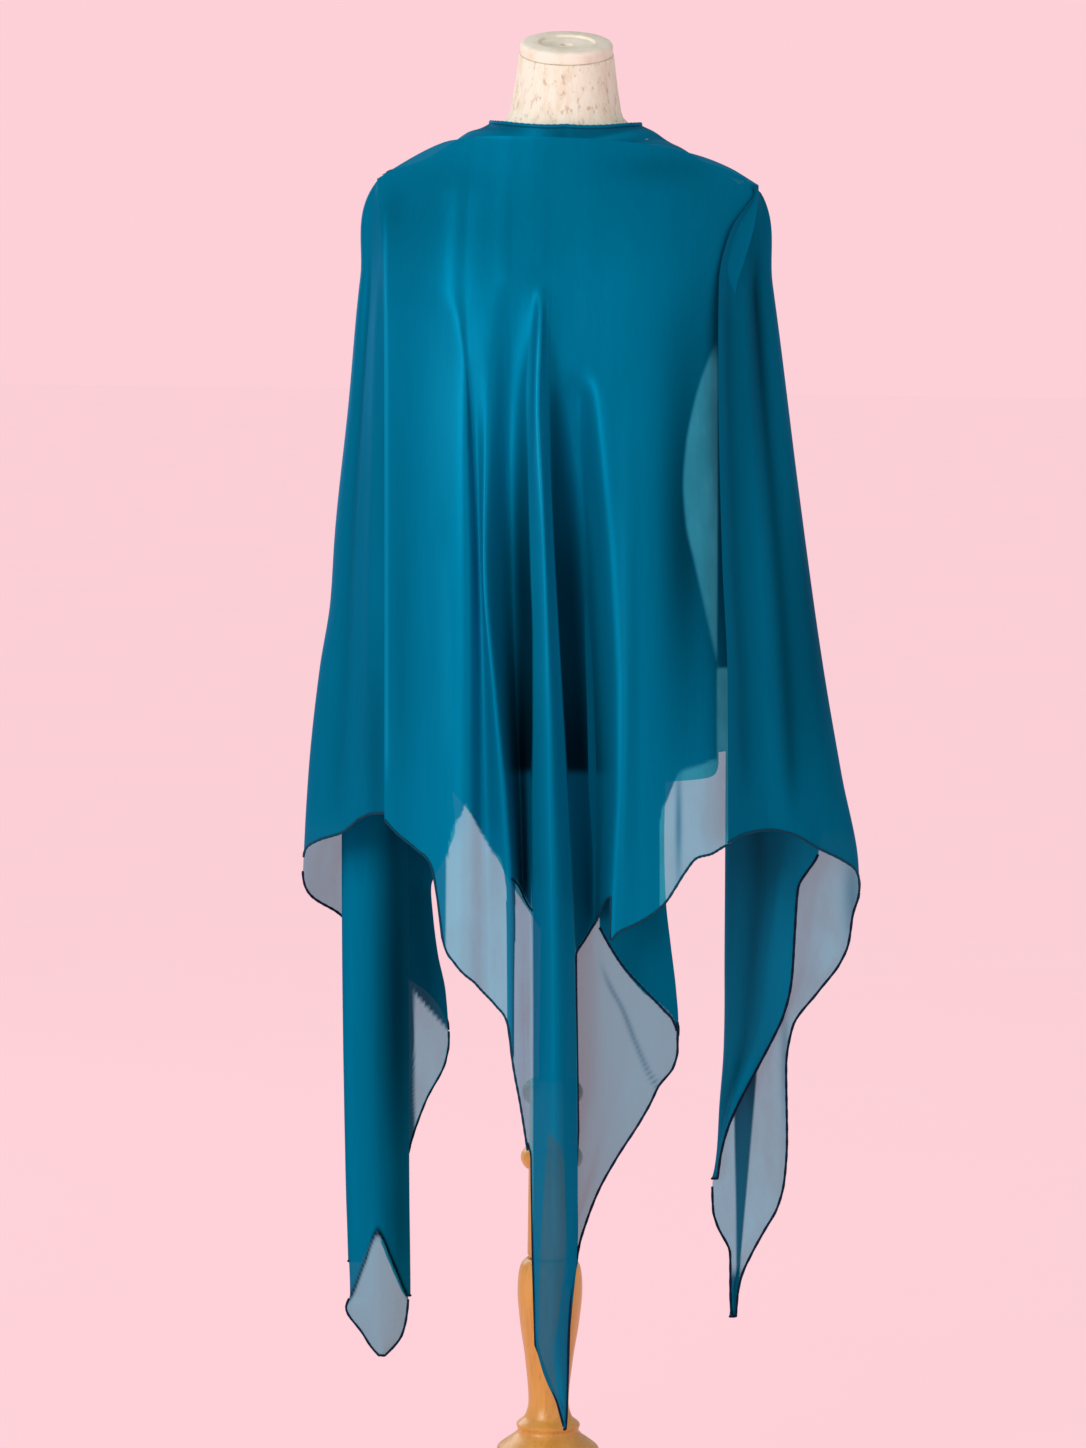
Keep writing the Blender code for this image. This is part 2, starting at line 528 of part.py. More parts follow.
def main():
    for obj in list(bpy.data.objects):
        bpy.data.objects.remove(obj, do_unlink=True)
    cloth = material("teal_silk_satin", (0.0, 0.13, 0.22), 0.35)
    linen = material("cream_linen", (0.85, 0.80, 0.68), 0.9)
    cap = material("cap_linen", (0.85, 0.80, 0.68), 0.85)
    wood = material("honey_wood", (0.72, 0.33, 0.09), 0.35)
    metal = material("dark_metal", (0.05, 0.05, 0.05), 0.4)
    build_form(linen, cap)
    build_stand(wood, metal)
    build_neck_wrap(cloth)
    build_scarf(cloth)


main()
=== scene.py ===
import math

import bmesh
import bpy
import numpy as np
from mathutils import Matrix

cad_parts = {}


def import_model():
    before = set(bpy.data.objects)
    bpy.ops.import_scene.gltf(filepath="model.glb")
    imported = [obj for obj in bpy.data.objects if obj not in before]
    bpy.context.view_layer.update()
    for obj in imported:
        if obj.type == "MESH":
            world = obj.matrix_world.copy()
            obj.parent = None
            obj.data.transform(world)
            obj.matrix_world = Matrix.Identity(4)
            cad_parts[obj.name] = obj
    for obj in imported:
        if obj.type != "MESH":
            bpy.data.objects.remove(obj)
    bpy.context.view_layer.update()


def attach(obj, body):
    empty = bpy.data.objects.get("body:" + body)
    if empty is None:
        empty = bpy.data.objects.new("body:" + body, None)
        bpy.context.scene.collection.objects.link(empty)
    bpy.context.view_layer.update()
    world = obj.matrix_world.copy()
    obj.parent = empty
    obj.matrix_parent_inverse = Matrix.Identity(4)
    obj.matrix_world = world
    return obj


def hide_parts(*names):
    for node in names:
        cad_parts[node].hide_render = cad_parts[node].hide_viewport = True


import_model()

# A large square silk satin scarf, draped like a poncho over a limbless dress form on a turned stand.
# The front elevation is drawn in millimetres on a sheet: across from its left edge, down from its top edge.
# Each fold line of the cloth says where it runs across and how deep it lies, at each distance down.

MM = 0.001

# The drawing sheet and the point it is drawn from
AXIS_ACROSS_TOP = 567.0
AXIS_LEAN = 0.0134
FLOOR_DOWN = 1522.0
EYE_DISTANCE = 5700.0
EYE_ACROSS = -18.0
EYE_HEIGHT = 1320.0

# Dress form
FORM_BOTTOM_DOWN = 770.0
FORM_ROUNDNESS = 2.3
FORM_RING_SIDES = 128
CAP_TILT_DEG = 16.0
CAP_RADIUS = 47.0
CAP_RECESS_RADIUS = 28.0
CAP_RECESS_DEPTH = 2.5
SCREW_HOLE_RADIUS = 6.0
SCREW_HOLE_DEPTH = 6.0

# Stand
POLE_RADIUS = 14.0
COLUMN_RADIUS = 23.0
COLLAR_RADIUS = 30.5
BASE_RADIUS = 150.0
BASE_THICKNESS = 24.0

SEAT_GAP = 0.3
BALUSTER_TOP_DOWN = 1258.3

# Rolled hem, with the least step between its rings and the swell at its stitches
HEM_RADIUS = 1.3
HEM_STEP = 0.9
STITCH_SWELL = 0.12
STITCH_TURN = 1.9

# Camera, in metres and radians
CAMERA_PLACE = (-0.0221, -5.7, 1.32)
CAMERA_DIP = 0.05317
CAMERA_ROLL = -0.01323
CAMERA_LENS = 142.73
CAMERA_SHIFT = (0.0005, -0.15)


class Table:
    """Named columns read by the first one, with a smooth monotone curve between the rows."""

    def __init__(self, **columns):
        self.keys = list(columns)
        self.at = np.array(columns[self.keys[0]], float)
        self.values = {k: np.array(columns[k], float) for k in self.keys[1:]}
        self.slopes = {k: self.slopes_of(v) for k, v in self.values.items()}

    def slopes_of(self, value):
        step = np.diff(self.at)
        rise = np.diff(value) / step
        slope = np.zeros(len(value))
        if len(rise) == 1:
            return slope + rise[0]
        same = rise[:-1] * rise[1:] > 0
        mean = (step[:-1] + step[1:]) / (
            step[:-1] / np.where(same, rise[1:], 1) + step[1:] / np.where(same, rise[:-1], 1)
        )
        slope[1:-1] = np.where(same, mean, 0)
        slope[0], slope[-1] = rise[0], rise[-1]
        return slope

    def read(self, key, at):
        at = np.clip(at, self.at[0], self.at[-1])
        i = np.clip(np.searchsorted(self.at, at, side="right") - 1, 0, len(self.at) - 2)
        step = self.at[i + 1] - self.at[i]
        t = (at - self.at[i]) / step
        value, slope = self.values[key], self.slopes[key]
        return (
            (2 * t**3 - 3 * t**2 + 1) * value[i]
            + (t**3 - 2 * t**2 + t) * step * slope[i]
            + (3 * t**2 - 2 * t**3) * value[i + 1]
            + (t**3 - t**2) * step * slope[i + 1]
        )


def line(down, across, depth):
    return Table(down=down, across=across, depth=depth)


# Fold lines of the front fall, from the viewer's left to right
FRONT = (
    line((180, 266, 330, 560, 811, 830), (379, 385, 386, 386, 385.6, 386), (-22, -52, -64, -82, -93, -94)),
    line((141, 200, 290, 330, 450, 560, 970), (455, 442, 440, 452, 458, 459, 456),
         (-54, -84, -110, -120, -132, -138, -146)),
    line((138, 200, 300, 400, 560, 1010), (478, 472, 468, 474, 480, 489), (-68, -94, -117, -126, -130, -136)),
    line((138, 300, 400, 560, 700, 810, 932, 1095), (498, 494, 490, 486, 497, 507, 513, 513),
         (-76, -119, -130, -142, -148, -150, -150, -148)),
    line((138, 300, 420, 560, 700, 810, 1152), (514, 512, 510, 512, 517, 521, 528),
         (-80, -120, -122, -116, -113, -112, -112)),
    line((138, 305, 450, 560, 640, 1190, 1296, 1343, 1366, 1388, 1402, 1416, 1431),
         (531, 532, 527, 530, 533, 533, 535, 536, 541, 549, 557, 561, 564),
         (-82, -123, -136, -140, -141, -141, -142, -143, -144, -146, -148, -149, -150)),
    line((138, 240, 305, 340, 400, 560, 780, 1118, 1221, 1296, 1343, 1388, 1416, 1431),
         (545, 542, 541.5, 540, 538, 545, 551, 556, 556, 553.5, 553, 559, 564, 565.5),
         (-84, -104, -128, -140, -152, -162, -164, -166, -166, -160, -158, -153, -151, -150)),
    line((138, 305, 400, 500, 640, 780, 867, 1040, 1118, 1221, 1263, 1287, 1338, 1385, 1431),
         (560, 551, 549, 553, 560, 568, 572, 577, 578, 578, 577, 573, 569, 568.5, 567),
         (-83, -124, -136, -141, -142, -142, -142, -142, -142, -142, -143, -143, -144, -147, -150)),
    line((139, 305, 400, 560, 700, 860, 955), (580, 574, 576, 585, 592, 595, 594),
         (-81, -120, -121, -114, -112, -112, -112)),
    line((140, 305, 400, 560, 700, 780, 856, 893, 945), (602, 598, 600, 612, 618, 617.7, 614.5, 612.7, 610),
         (-79, -124, -136, -146, -149, -150, -150, -150, -150)),
    line((146, 260, 330, 560, 925), (644, 640, 640, 642, 642), (-64, -108, -121, -137, -142)),
    line((160, 200, 260, 330, 560, 870), (700, 697, 692, 688, 690, 690), (-44, -68, -92, -104, -114, -120)),
    line((187, 210, 250, 305, 560, 700, 842), (749, 744, 731, 724, 727, 731, 731),
         (-22, -36, -52, -64, -80, -88, -95)),
)

# Fold lines of the turn set back between the front fall and the front's right side
SET_BACK = (
    line((430, 640, 1221, 1263, 1286), (562, 564, 566, 568, 570.5), (-110, -110, -111, -118, -124)),
    line((430, 640, 898, 1018, 1064, 1118, 1190, 1221, 1263, 1286),
         (590, 606, 618, 622, 618, 602, 583, 577, 573, 571.6),
         (-109, -109, -110, -110, -110, -111, -112, -114, -118, -124)),
    line((430, 640, 700, 898, 943, 986, 1018, 1047, 1064, 1084, 1101, 1119, 1157, 1190, 1221, 1244, 1268, 1286),
         (618, 654, 662, 666, 671, 676, 678, 678, 674, 659, 651, 641, 617, 599, 587, 580, 576, 573),
         (-102, -102, -103, -104, -104, -104, -104, -104, -104, -105, -106, -107, -110, -112, -115, -117, -120,
          -124)),
    line((700, 770, 860, 958, 1040, 1084), (658, 652, 634, 638, 656, 659), (-98, -98, -96, -93, -93, -94)),
    line((700, 770, 800, 860, 958, 1003, 1040, 1073, 1084), (652, 640, 618, 600, 601, 621, 636, 651, 656),
         (-99, -99, -98, -96, -93, -92, -92, -93, -93)),
)

# Fold lines round the left side, from the front, round the shoulder to the back, and into the tail
LEFT = (
    line((188, 266, 330, 560, 816), (383, 392, 393, 392, 392), (-10, -28, -40, -60, -74)),
    line((176, 187, 280, 405, 540, 700, 836), (388, 380, 373, 365, 358, 352, 345),
         (-6, -7, -16, -26, -34, -40, -44)),
    line((171, 175, 186, 280, 405, 540, 600, 669, 770, 815, 875),
         (401, 391, 377.5, 362, 350, 336, 332, 321, 310, 307, 304), (0, 1, 2, 4, 5, 6, 6, 6, 8, 8, 8)),
    line((171, 184, 280, 405, 560, 832, 920), (399, 383, 372, 362, 352, 345, 343), (16, 24, 52, 58, 62, 66, 66)),
    line((170, 182, 240, 405, 560, 832, 970), (410, 402, 400, 398, 396, 395, 393), (34, 48, 82, 92, 95, 95, 93)),
    line((178, 240, 405, 560, 786, 828, 852, 888, 914, 953, 992, 1042, 1060, 1101, 1136, 1181, 1204, 1231,
          1249, 1272, 1297),
         (430, 430, 431, 434, 452, 456, 448, 432, 434, 439, 447, 450, 447, 427, 414, 402, 393, 377,
          367, 358, 353),
         (62, 94, 105, 108, 108, 107, 106, 104, 103, 102, 101, 98, 97, 92, 86, 80, 77, 74, 72, 70, 68)),
    line((300, 560, 786, 900, 1042, 1136, 1204, 1249, 1297), (389, 390, 396, 392, 396, 379, 369, 358, 351.7),
         (64, 68, 72, 68, 66, 64, 62, 60, 58)),
    line((300, 560, 833, 1080, 1150, 1197, 1244, 1298, 1311, 1336, 1355, 1359),
         (370, 356, 343, 344, 345, 346, 348, 350, 346, 362, 375, 379),
         (30, 36, 46, 48, 48, 48, 48, 48, 48, 46, 44, 43)),
    line((300, 560, 700, 833, 1080, 1221, 1301, 1336, 1359), (380, 374, 374, 378, 378, 379, 379, 381, 381.5),
         (16, 24, 28, 34, 34, 34, 36, 38, 40)),
    line((300, 560, 700, 833, 1221, 1301, 1317, 1338, 1356, 1359),
         (389, 384, 388, 408, 410, 408.5, 407, 402, 388, 385), (32, 42, 46, 50, 50, 50, 49, 47, 44, 43)),
    line((300, 560, 833, 1150, 1231, 1256, 1284, 1300), (382, 376, 383, 382, 394, 399, 405, 408),
         (42, 46, 54, 54, 54, 54, 54, 54)),
    line((300, 560, 833, 1150, 1215, 1231, 1256, 1284, 1300), (380, 367, 358, 357, 368, 377, 387, 399, 406.5),
         (36, 39, 48, 50, 50, 51, 52, 53, 53)),
)

# Fold lines round the right side, from the front edge, round the shoulder to the back, and into the tail
RIGHT = (
    line((193, 230, 280, 330, 560, 670, 838), (753, 729, 718, 717.5, 722, 727, 728),
         (-27.8, -64, -80, -90, -104, -110, -114)),
    line((194, 280, 330, 560, 770, 828), (757, 741, 743, 757, 769, 772), (-18, -46, -54, -64, -70, -72)),
    line((180, 194, 280, 330, 560, 770, 843), (744, 759.5, 761, 765, 789, 808, 815),
         (-6, -9, -24, -28, -36, -40, -41)),
    line((171, 178, 192, 280, 316, 494, 540, 678, 770, 861, 886, 908, 940, 958, 986, 1023, 1062, 1134, 1179, 1205,
          1228, 1252, 1272, 1288, 1316),
         (729.7, 743, 760.5, 772, 777, 799, 805, 825, 841, 858, 859, 853, 848, 840, 819, 793, 787, 788, 785, 778,
          765, 752, 743, 739, 736.5),
         (0, 1, 2, 4, 4, 6, 6, 8, 8, 8, 10, 12, 14, 15, 18, 24, 28, 32, 36, 38, 42, 46, 50, 54, 56)),
    line((180, 196, 280, 560, 886, 958, 1023, 1134, 1228, 1252, 1316),
         (742, 750, 758, 776, 790, 782, 758, 754, 742, 741, 735),
         (16, 30, 46, 54, 58, 60, 60, 60, 60, 60, 58)),
    line((184, 200, 280, 560, 838, 1040, 1105, 1167, 1182, 1209, 1223, 1252, 1299, 1316),
         (725, 728, 726, 727, 726, 724, 721, 717, 713, 714, 718, 731, 731.5, 733),
         (36, 58, 72, 80, 76, 70, 68, 66, 65, 64, 63, 62, 60, 59)),
    line((300, 560, 838, 949, 1031, 1103, 1156, 1178), (744, 752, 768, 758, 750, 729, 719, 715.6),
         (44, 36, 34, 38, 44, 50, 56, 60)),
    line((300, 560, 800, 845, 884, 927, 975, 1016, 1031, 1068, 1103, 1127, 1156, 1178),
         (754, 776, 822, 819, 798, 795, 792, 782, 775, 756, 738, 728, 721, 718.5),
         (26, 14, 12, 14, 20, 24, 28, 34, 36, 42, 47, 51, 55, 58)),
)

# Fold lines of the back fall, from the viewer's left to right
BACK = (
    line((176, 240, 405, 560, 800), (404, 382, 376, 372, 366), (54, 84, 92, 96, 98)),
    line((157, 168, 240, 405, 560, 800), (452, 450, 446, 446, 448, 450), (57, 70, 106, 118, 122, 124)),
    line((146, 164, 240, 326, 405, 560, 900), (512, 511, 508, 508, 508, 510, 511), (73, 80, 98, 116, 122, 128, 132)),
    line((145, 162, 240, 280, 326, 405, 700, 960), (564, 564, 562, 562, 562, 562, 562, 562),
         (74, 81, 95, 106.5, 115, 123, 131, 134)),
    line((146, 164, 240, 326, 405, 560, 910), (616, 617, 618, 618, 618, 620, 622), (73, 80, 98, 116, 122, 128, 132)),
    line((157, 170, 240, 405, 560, 800), (678, 680, 688, 690, 694, 700), (57, 70, 104, 116, 120, 122)),
    line((186, 240, 405, 560, 800), (744, 758, 774, 788, 806), (46, 64, 72, 74, 74)),
)

# Where each stretch starts and ends, by fold line number
FRONT_LEFT_HEM = Table(
    fold=(0, 0.16, 0.41, 0.61, 0.71, 0.78, 0.97, 1.57, 2.28, 2.72, 3, 3.5, 4),
    down=(820, 833, 849, 866, 905, 940, 962, 984, 1005, 1021, 1060, 1105, 1150),
)
LEFT_DRAPE_HEM = Table(fold=(0, 0.36, 0.64, 1, 1.55, 1.85, 2), down=(813, 814, 819, 832, 842, 850, 858))
LEFT_BACK_HEM = Table(fold=(2, 2.2, 3, 3.48, 4, 4.6, 4.85, 5), down=(873, 888, 917, 940, 966, 995, 1016, 1030))
RIGHT_DRAPE_HEM = Table(fold=(0, 0.4, 1, 1.5, 2, 2.5, 2.85, 3), down=(838, 829, 825, 829, 841, 855, 870, 886))
BACK_HEM = Table(
    fold=(0, 1, 1.28, 1.6, 2, 2.34, 3.2, 3.5, 3.8, 4.05, 4.3, 4.6, 5.05, 5.5, 6),
    down=(765, 786, 807, 836, 878, 906, 953, 925, 890, 822, 800, 778, 750, 744, 748),
)

FORM = Table(
    down=(56, 100, 120, 129, 137.1, 144.1, 162.9, 171, 186, 200, 240, 280, 326, 396, 473, 530, 563, 620, 700, 770),
    half_width=(47, 53, 58, 72, 90, 106, 138, 155, 174, 176, 170, 163, 155, 137, 122.5, 128, 136, 150, 160, 161),
    half_depth=(47, 52, 55, 56, 56, 60, 66, 69, 73, 78, 92, 104, 112, 108, 96, 97, 100, 104, 106, 106),
)


def round_angles(sides):
    return np.arange(sides) * 2 * math.pi / sides


def height(down):
    return FLOOR_DOWN - down


def level(down, first, last):
    return Table(fold=(first, last), down=(down, down))


# Creases pressed or hung into the cloth: fold line at its top and foot, spread in folds, top, foot, height, and the
# shade painted along it, a painted highlight where negative
FRONT_CREASES = (
    (0.45, 0.95, 0.55, 200, 640, 1.2, 0.0),
    (0.70, 0.80, 0.12, 520, 800, 0.7, -0.08),
    (1.70, 2.20, 0.60, 360, 900, -0.8, 0.12),
    (3.10, 3.35, 0.40, 520, 1000, 0.8, 0.05),
    (4.20, 4.05, 1.00, 360, 800, -1.5, 0.0),
    (5.02, 5.00, 0.30, 325, 470, 1.4, -0.25),
    (6.00, 6.05, 0.45, 292, 560, 1.6, -0.10),
    (8.05, 7.85, 0.95, 330, 860, -1.5, 0.0),
    (9.40, 9.30, 0.45, 380, 880, 0.8, 0.0),
    (10.30, 10.20, 0.50, 300, 860, 0.6, 0.0),
    (10.90, 11.00, 0.70, 270, 800, -1.0, 0.0),
)
SET_BACK_CREASES = (
    (0.55, 0.60, 0.25, 500, 1180, 2.0, 0.0),
    (1.30, 1.10, 0.22, 620, 1200, -1.6, 0.10),
    (2.60, 2.40, 0.20, 730, 1020, 1.2, 0.0),
    (3.20, 3.40, 0.25, 760, 1020, -1.2, 0.10),
)
LEFT_CREASES = (
    (0.50, 0.45, 0.22, 260, 830, 2.0, 0.0),
    (1.20, 1.25, 0.20, 240, 850, -1.8, 0.15),
    (2.55, 2.70, 0.30, 260, 900, 2.6, 0.0),
    (3.30, 3.60, 0.28, 230, 930, -2.6, 0.15),
    (4.30, 4.20, 0.25, 260, 1000, 2.4, 0.0),
    (5.60, 5.50, 0.24, 400, 1200, -1.5, 0.1),
    (6.40, 6.35, 0.24, 400, 1250, 1.5, 0.0),
    (7.45, 7.40, 0.22, 500, 1300, 2.0, -0.1),
    (8.30, 8.50, 0.24, 520, 1320, -1.8, 0.12),
    (9.50, 9.60, 0.24, 600, 1270, 1.4, 0.0),
    (10.40, 10.30, 0.24, 600, 1270, -1.4, 0.1),
)
RIGHT_CREASES = (
    (0.40, 0.45, 0.20, 260, 820, -1.8, 0.20),
    (1.05, 1.10, 0.24, 240, 830, 2.2, -0.1),
    (1.75, 1.60, 0.24, 230, 840, -2.2, 0.35),
    (2.45, 2.40, 0.26, 230, 860, 2.0, 0.0),
    (3.35, 3.40, 0.24, 260, 1250, -1.8, 0.1),
    (4.10, 4.15, 0.26, 260, 1280, 2.2, 0.0),
    (4.60, 4.55, 0.20, 300, 1260, -1.6, 0.2),
    (5.35, 5.40, 0.22, 420, 1150, 2.0, -0.1),
    (5.80, 5.75, 0.18, 420, 1150, -2.0, 0.25),
    (6.40, 6.30, 0.24, 420, 1120, 1.6, 0.0),
)
BACK_CREASES = (
    (0.55, 0.45, 0.24, 210, 770, 2.6, 0.0),
    (1.05, 0.85, 0.22, 230, 790, -2.8, 0.15),
    (1.60, 1.50, 0.26, 200, 840, 3.0, 0.0),
    (2.30, 2.35, 0.22, 260, 880, -2.4, 0.15),
    (3.00, 3.00, 0.28, 220, 940, 3.2, 0.0),
    (3.65, 3.70, 0.22, 300, 900, -2.8, 0.15),
    (4.35, 4.45, 0.26, 210, 800, 2.8, 0.0),
    (4.95, 5.15, 0.22, 240, 760, -2.6, 0.15),
    (5.50, 5.55, 0.22, 220, 740, 2.2, 0.0),
)


def smooth(t):
    t = np.clip(t, 0, 1)
    return t * t * (3 - 2 * t)


def world(across, down, depth):
    """The place of a point of the drawing that lies at this depth, in metres."""
    near = (EYE_DISTANCE + depth) / EYE_DISTANCE
    x = across - (AXIS_ACROSS_TOP - AXIS_LEAN * (down - 60))
    z = FLOOR_DOWN - down
    return np.stack(
        [EYE_ACROSS + (x - EYE_ACROSS) * near, depth, EYE_HEIGHT + (z - EYE_HEIGHT) * near], -1
    ) * MM


class Fall:
    """Cloth that runs smoothly across its fold lines. A place on it is a fold number and a distance down."""

    def __init__(self, lines, creases, outward, waver):
        self.lines, self.creases, self.outward, self.waver = lines, creases, outward, waver

    def drawn(self, fold, down):
        """Where the cloth hangs by its fold lines alone: cubic through the four nearest."""
        last = len(self.lines) - 1
        i = np.clip(np.floor(fold), 0, last - 1).astype(int)
        t = fold - i
        out = []
        for key in ("across", "depth"):
            rows = np.stack([ln.read(key, down) for ln in self.lines])
            a, b, c, d = (
                np.take_along_axis(rows, np.clip(i + n, 0, last)[None], 0)[0] for n in (-1, 0, 1, 2)
            )
            a = np.where(i == 0, 2 * b - c, a)
            d = np.where(i + 2 > last, 2 * c - b, d)
            out.append(0.5 * (
                2 * b + (c - a) * t + (2 * a - 5 * b + 4 * c - d) * t**2 + (3 * b - 3 * c + d - a) * t**3
            ))
        return world(out[0], down, out[1]), out[0]

    def relief(self, fold, down):
        """How far the creases and the soft waver of the satin lift it, in millimetres, and the shade painted along
        the creases, a painted highlight where negative.
        """
        lift, shade_and_highlight = np.zeros_like(fold), np.zeros_like(fold)
        for at_top, at_foot, spread, top, foot, rise, dark in self.creases:
            t = (down - top) / (foot - top)
            middle = at_top + (at_foot - at_top) * np.clip(t, 0, 1)
            middle = middle + 0.06 * spread * np.sin(down / 61.0 + 5 * at_top)
            run = smooth((down - top) / 70.0) * smooth((foot - down) / 90.0)
            swell = 1 + 0.25 * np.sin(down / 97.0 + 3 * at_top)
            bump = np.exp(-((fold - middle) / spread) ** 2) * run
            lift += rise * swell * bump
            # painted shade along each crease, a painted highlight where its shade is negative
            shade_and_highlight += dark * bump
        for k, (size, across, along) in enumerate(((0.55, 0.9, 330.0), (0.30, 1.7, 210.0), (0.12, 3.1, 120.0))):
            lift += self.waver * size * np.sin(across * fold + down / along * 2 + 1.3 * k) * np.cos(
                0.6 * across * fold - down / along + 2.1 * k
            )
        return lift, shade_and_highlight

    def facing(self, place, fold, down, beside, below):
        """Outward normals, from places this far beside and below, in folds and millimetres."""
        side = place(fold + beside, down)[0] - place(fold - beside, down)[0]
        fall = place(fold, down + below)[0] - place(fold, down - below)[0]
        normal = np.cross(side, fall)
        return normal * (self.outward / np.maximum(np.linalg.norm(normal, axis=-1, keepdims=True), 1e-12))

    def surface(self, fold, down):
        normal = self.facing(self.drawn, fold, down, 0.02, 2.0)
        lift, shade_and_highlight = self.relief(fold, down)
        return self.drawn(fold, down)[0] + normal * (lift * MM)[..., None], shade_and_highlight

    def sheet(self, first, last, top, hem, columns, rows):
        """Points, normals and painted crease shade and highlight of one stretch: a column for each place between the
        folds.
        """
        fold = np.linspace(first, last, columns)[:, None] * np.ones((1, rows))
        high, low = top.read("down", fold), hem.read("down", fold)
        down = high + (low - high) * np.linspace(0, 1, rows)[None, :]
        points, shade_and_highlight = self.surface(fold, down)
        normals = self.facing(self.surface, fold, down, 0.015, 1.5)
        return points, normals, shade_and_highlight, down, self.drawn(fold, down)[1]


def calmed(lines, until):
    """The front's fold lines with one even curve across them from the neckline down to this distance."""
    out = []
    downs = np.array([138.0, 165.0, 195.0, 225.0, 255.0, 285.0, 325.0, 365.0])
    curves = []
    for d in downs:
        x = np.array([float(ln.read("across", d)) for ln in lines])
        y = np.array([float(ln.read("depth", d)) for ln in lines])
        fit = np.polyfit((x - 565) / 190, y, 4)
        own = np.array([1.0] + [0.0] * (len(lines) - 2) + [1.0])
        curves.append(own * y + (1 - own) * np.polyval(fit, (x - 565) / 190))
    for n, ln in enumerate(lines):
        # the pleats of the centre fall start higher up than the rest
        rows, start = (6, until) if n in (4, 5, 6, 7) else (8, until + 80)
        below = ln.at > start
        at = np.concatenate([downs[:rows], ln.at[below]])
        across = np.concatenate([ln.read("across", downs[:rows]), ln.values["across"][below]])
        depth = np.concatenate([[c[n] for c in curves[:rows]], ln.values["depth"][below]])
        out.append(Table(down=at, across=across, depth=depth))
    return tuple(out)


# Where one layer of the cloth lies on another and hides what is behind, where shade is painted for its shadow
# and where highlights are painted, by place on the drawing. 1 is close and opaque, 0 is a single sheer layer.
STRIP_LEFT = Table(down=(300, 400, 560, 640, 1190), across=(531, 527.5, 530.5, 533, 533))
STRIP_RIGHT = Table(down=(305, 500, 640, 780, 867, 1040, 1221), across=(549, 553, 560, 568, 572, 577, 578))
VALLEY_LEFT = Table(down=(330, 450, 560, 770, 900), width=(6, 18, 30, 34, 24))
VALLEY_RIGHT = Table(down=(330, 450, 560, 770, 930), width=(8, 26, 46, 50, 40))
VALLEY_DARK = Table(down=(330, 400, 500, 600, 765, 775, 960), dark=(0, 0.28, 0.70, 0.95, 0.97, 0.44, 0.46))
SHEER_APEX = Table(
    across=(386, 441, 444.5, 446.5, 450, 463, 466, 470, 480, 492, 505, 507, 508.5, 513, 515.5, 517, 533),
    down=(1200, 1200, 1130, 885, 845, 812, 804, 810, 828, 850, 872, 890, 1100, 1100, 1000, 885, 908),
)
VEE = Table(
    across=(500, 511, 533, 575, 577, 594, 612, 613, 660), down=(877, 877, 908, 950, 948, 922, 893, 1200, 1200)
)
STRIP_SHEER_LEFT = Table(
    down=(1128, 1171, 1258, 1293, 1330, 1352, 1440), across=(549, 545.6, 541, 540, 539.5, 538, 534)
)
STRIP_SHEER_RIGHT = Table(down=(1128, 1153, 1233, 1307, 1357, 1389, 1440), across=(547, 563, 566, 560, 554, 557, 560))
RIGHT_SHEER = Table(
    across=(613, 657, 659, 661, 666, 681, 700, 716, 740), down=(1200, 1200, 1000, 812, 800, 769, 762, 756, 756)
)
DIAMOND = Table(across=(340, 350, 365, 378, 395, 409, 420), down=(1306, 1300, 1265, 1235, 1270, 1300, 1310))
SET_BACK_CREASE = Table(down=(958, 985, 1003, 1040, 1073, 1084), across=(600, 611, 621, 636, 651, 658))
TURN_EDGE = Table(across=(600, 611, 622, 644.5, 664, 675, 679), down=(925, 945, 962, 987, 1007, 1021, 1036))
TORSO_EDGE = Table(
    down=(330, 345, 400, 440, 480, 520, 560, 600, 640, 670, 700, 845),
    across=(719, 713, 695, 687, 684, 687, 696, 705, 714, 721, 728, 745),
)


def set_back_fold(fall, across, down):
    """The fold number, between the first three lines, that lies this far across."""
    folds = np.linspace(0, 2, 81)
    return float(np.interp(across, fall.drawn(folds, np.full(81, float(down)))[1], folds))


def above(table, x, y, blur=4.5):
    return smooth((table.read("down", x) - y) / blur + 0.5)


def right_of(table, x, y, blur=2.5):
    return smooth((x - table.read("across", y)) / blur + 0.5)


def patch(x, y, middle_x, middle_y, wide, tall):
    return np.exp(-(((x - middle_x) / wide) ** 2) - ((y - middle_y) / tall) ** 2)


def shade_patches(x, y, *rows):
    """Soft patches of painted shade added up, a painted highlight where the darkness is negative. A row: middle
    across and down, half width, half height, darkness.
    """
    return sum(dark * patch(x, y, across, down, wide, tall) for across, down, wide, tall, dark in rows)


# How strong the painted glow, which stands in for the paper's light coming through, is on the stretches that hang in
# another's shadow
THROUGH = {"front_set_back": 0.12, "left_tail_front": 0.30, "left_tail_turn": 0.30}


def valley_shadow(x, y):
    left, right = STRIP_LEFT.read("across", y), STRIP_RIGHT.read("across", y)
    near_left = smooth((x - left + VALLEY_LEFT.read("width", y)) / (0.7 * VALLEY_LEFT.read("width", y)))
    near_right = smooth((right + VALLEY_RIGHT.read("width", y) - x) / (0.7 * VALLEY_RIGHT.read("width", y)))
    near_left = near_left * (1 - right_of(STRIP_LEFT, x, y, 2))
    near_right = near_right * right_of(STRIP_RIGHT, x, y, 2)
    # painted shade over the yoke, darker up towards the neckline, and a patch of it on the right
    yoke_shade = 0.10 * smooth((340 - y) / 130) + 0.10 * patch(x, y, 655, 330, 40, 60)
    return (near_left + near_right) * VALLEY_DARK.read("dark", y) + yoke_shade


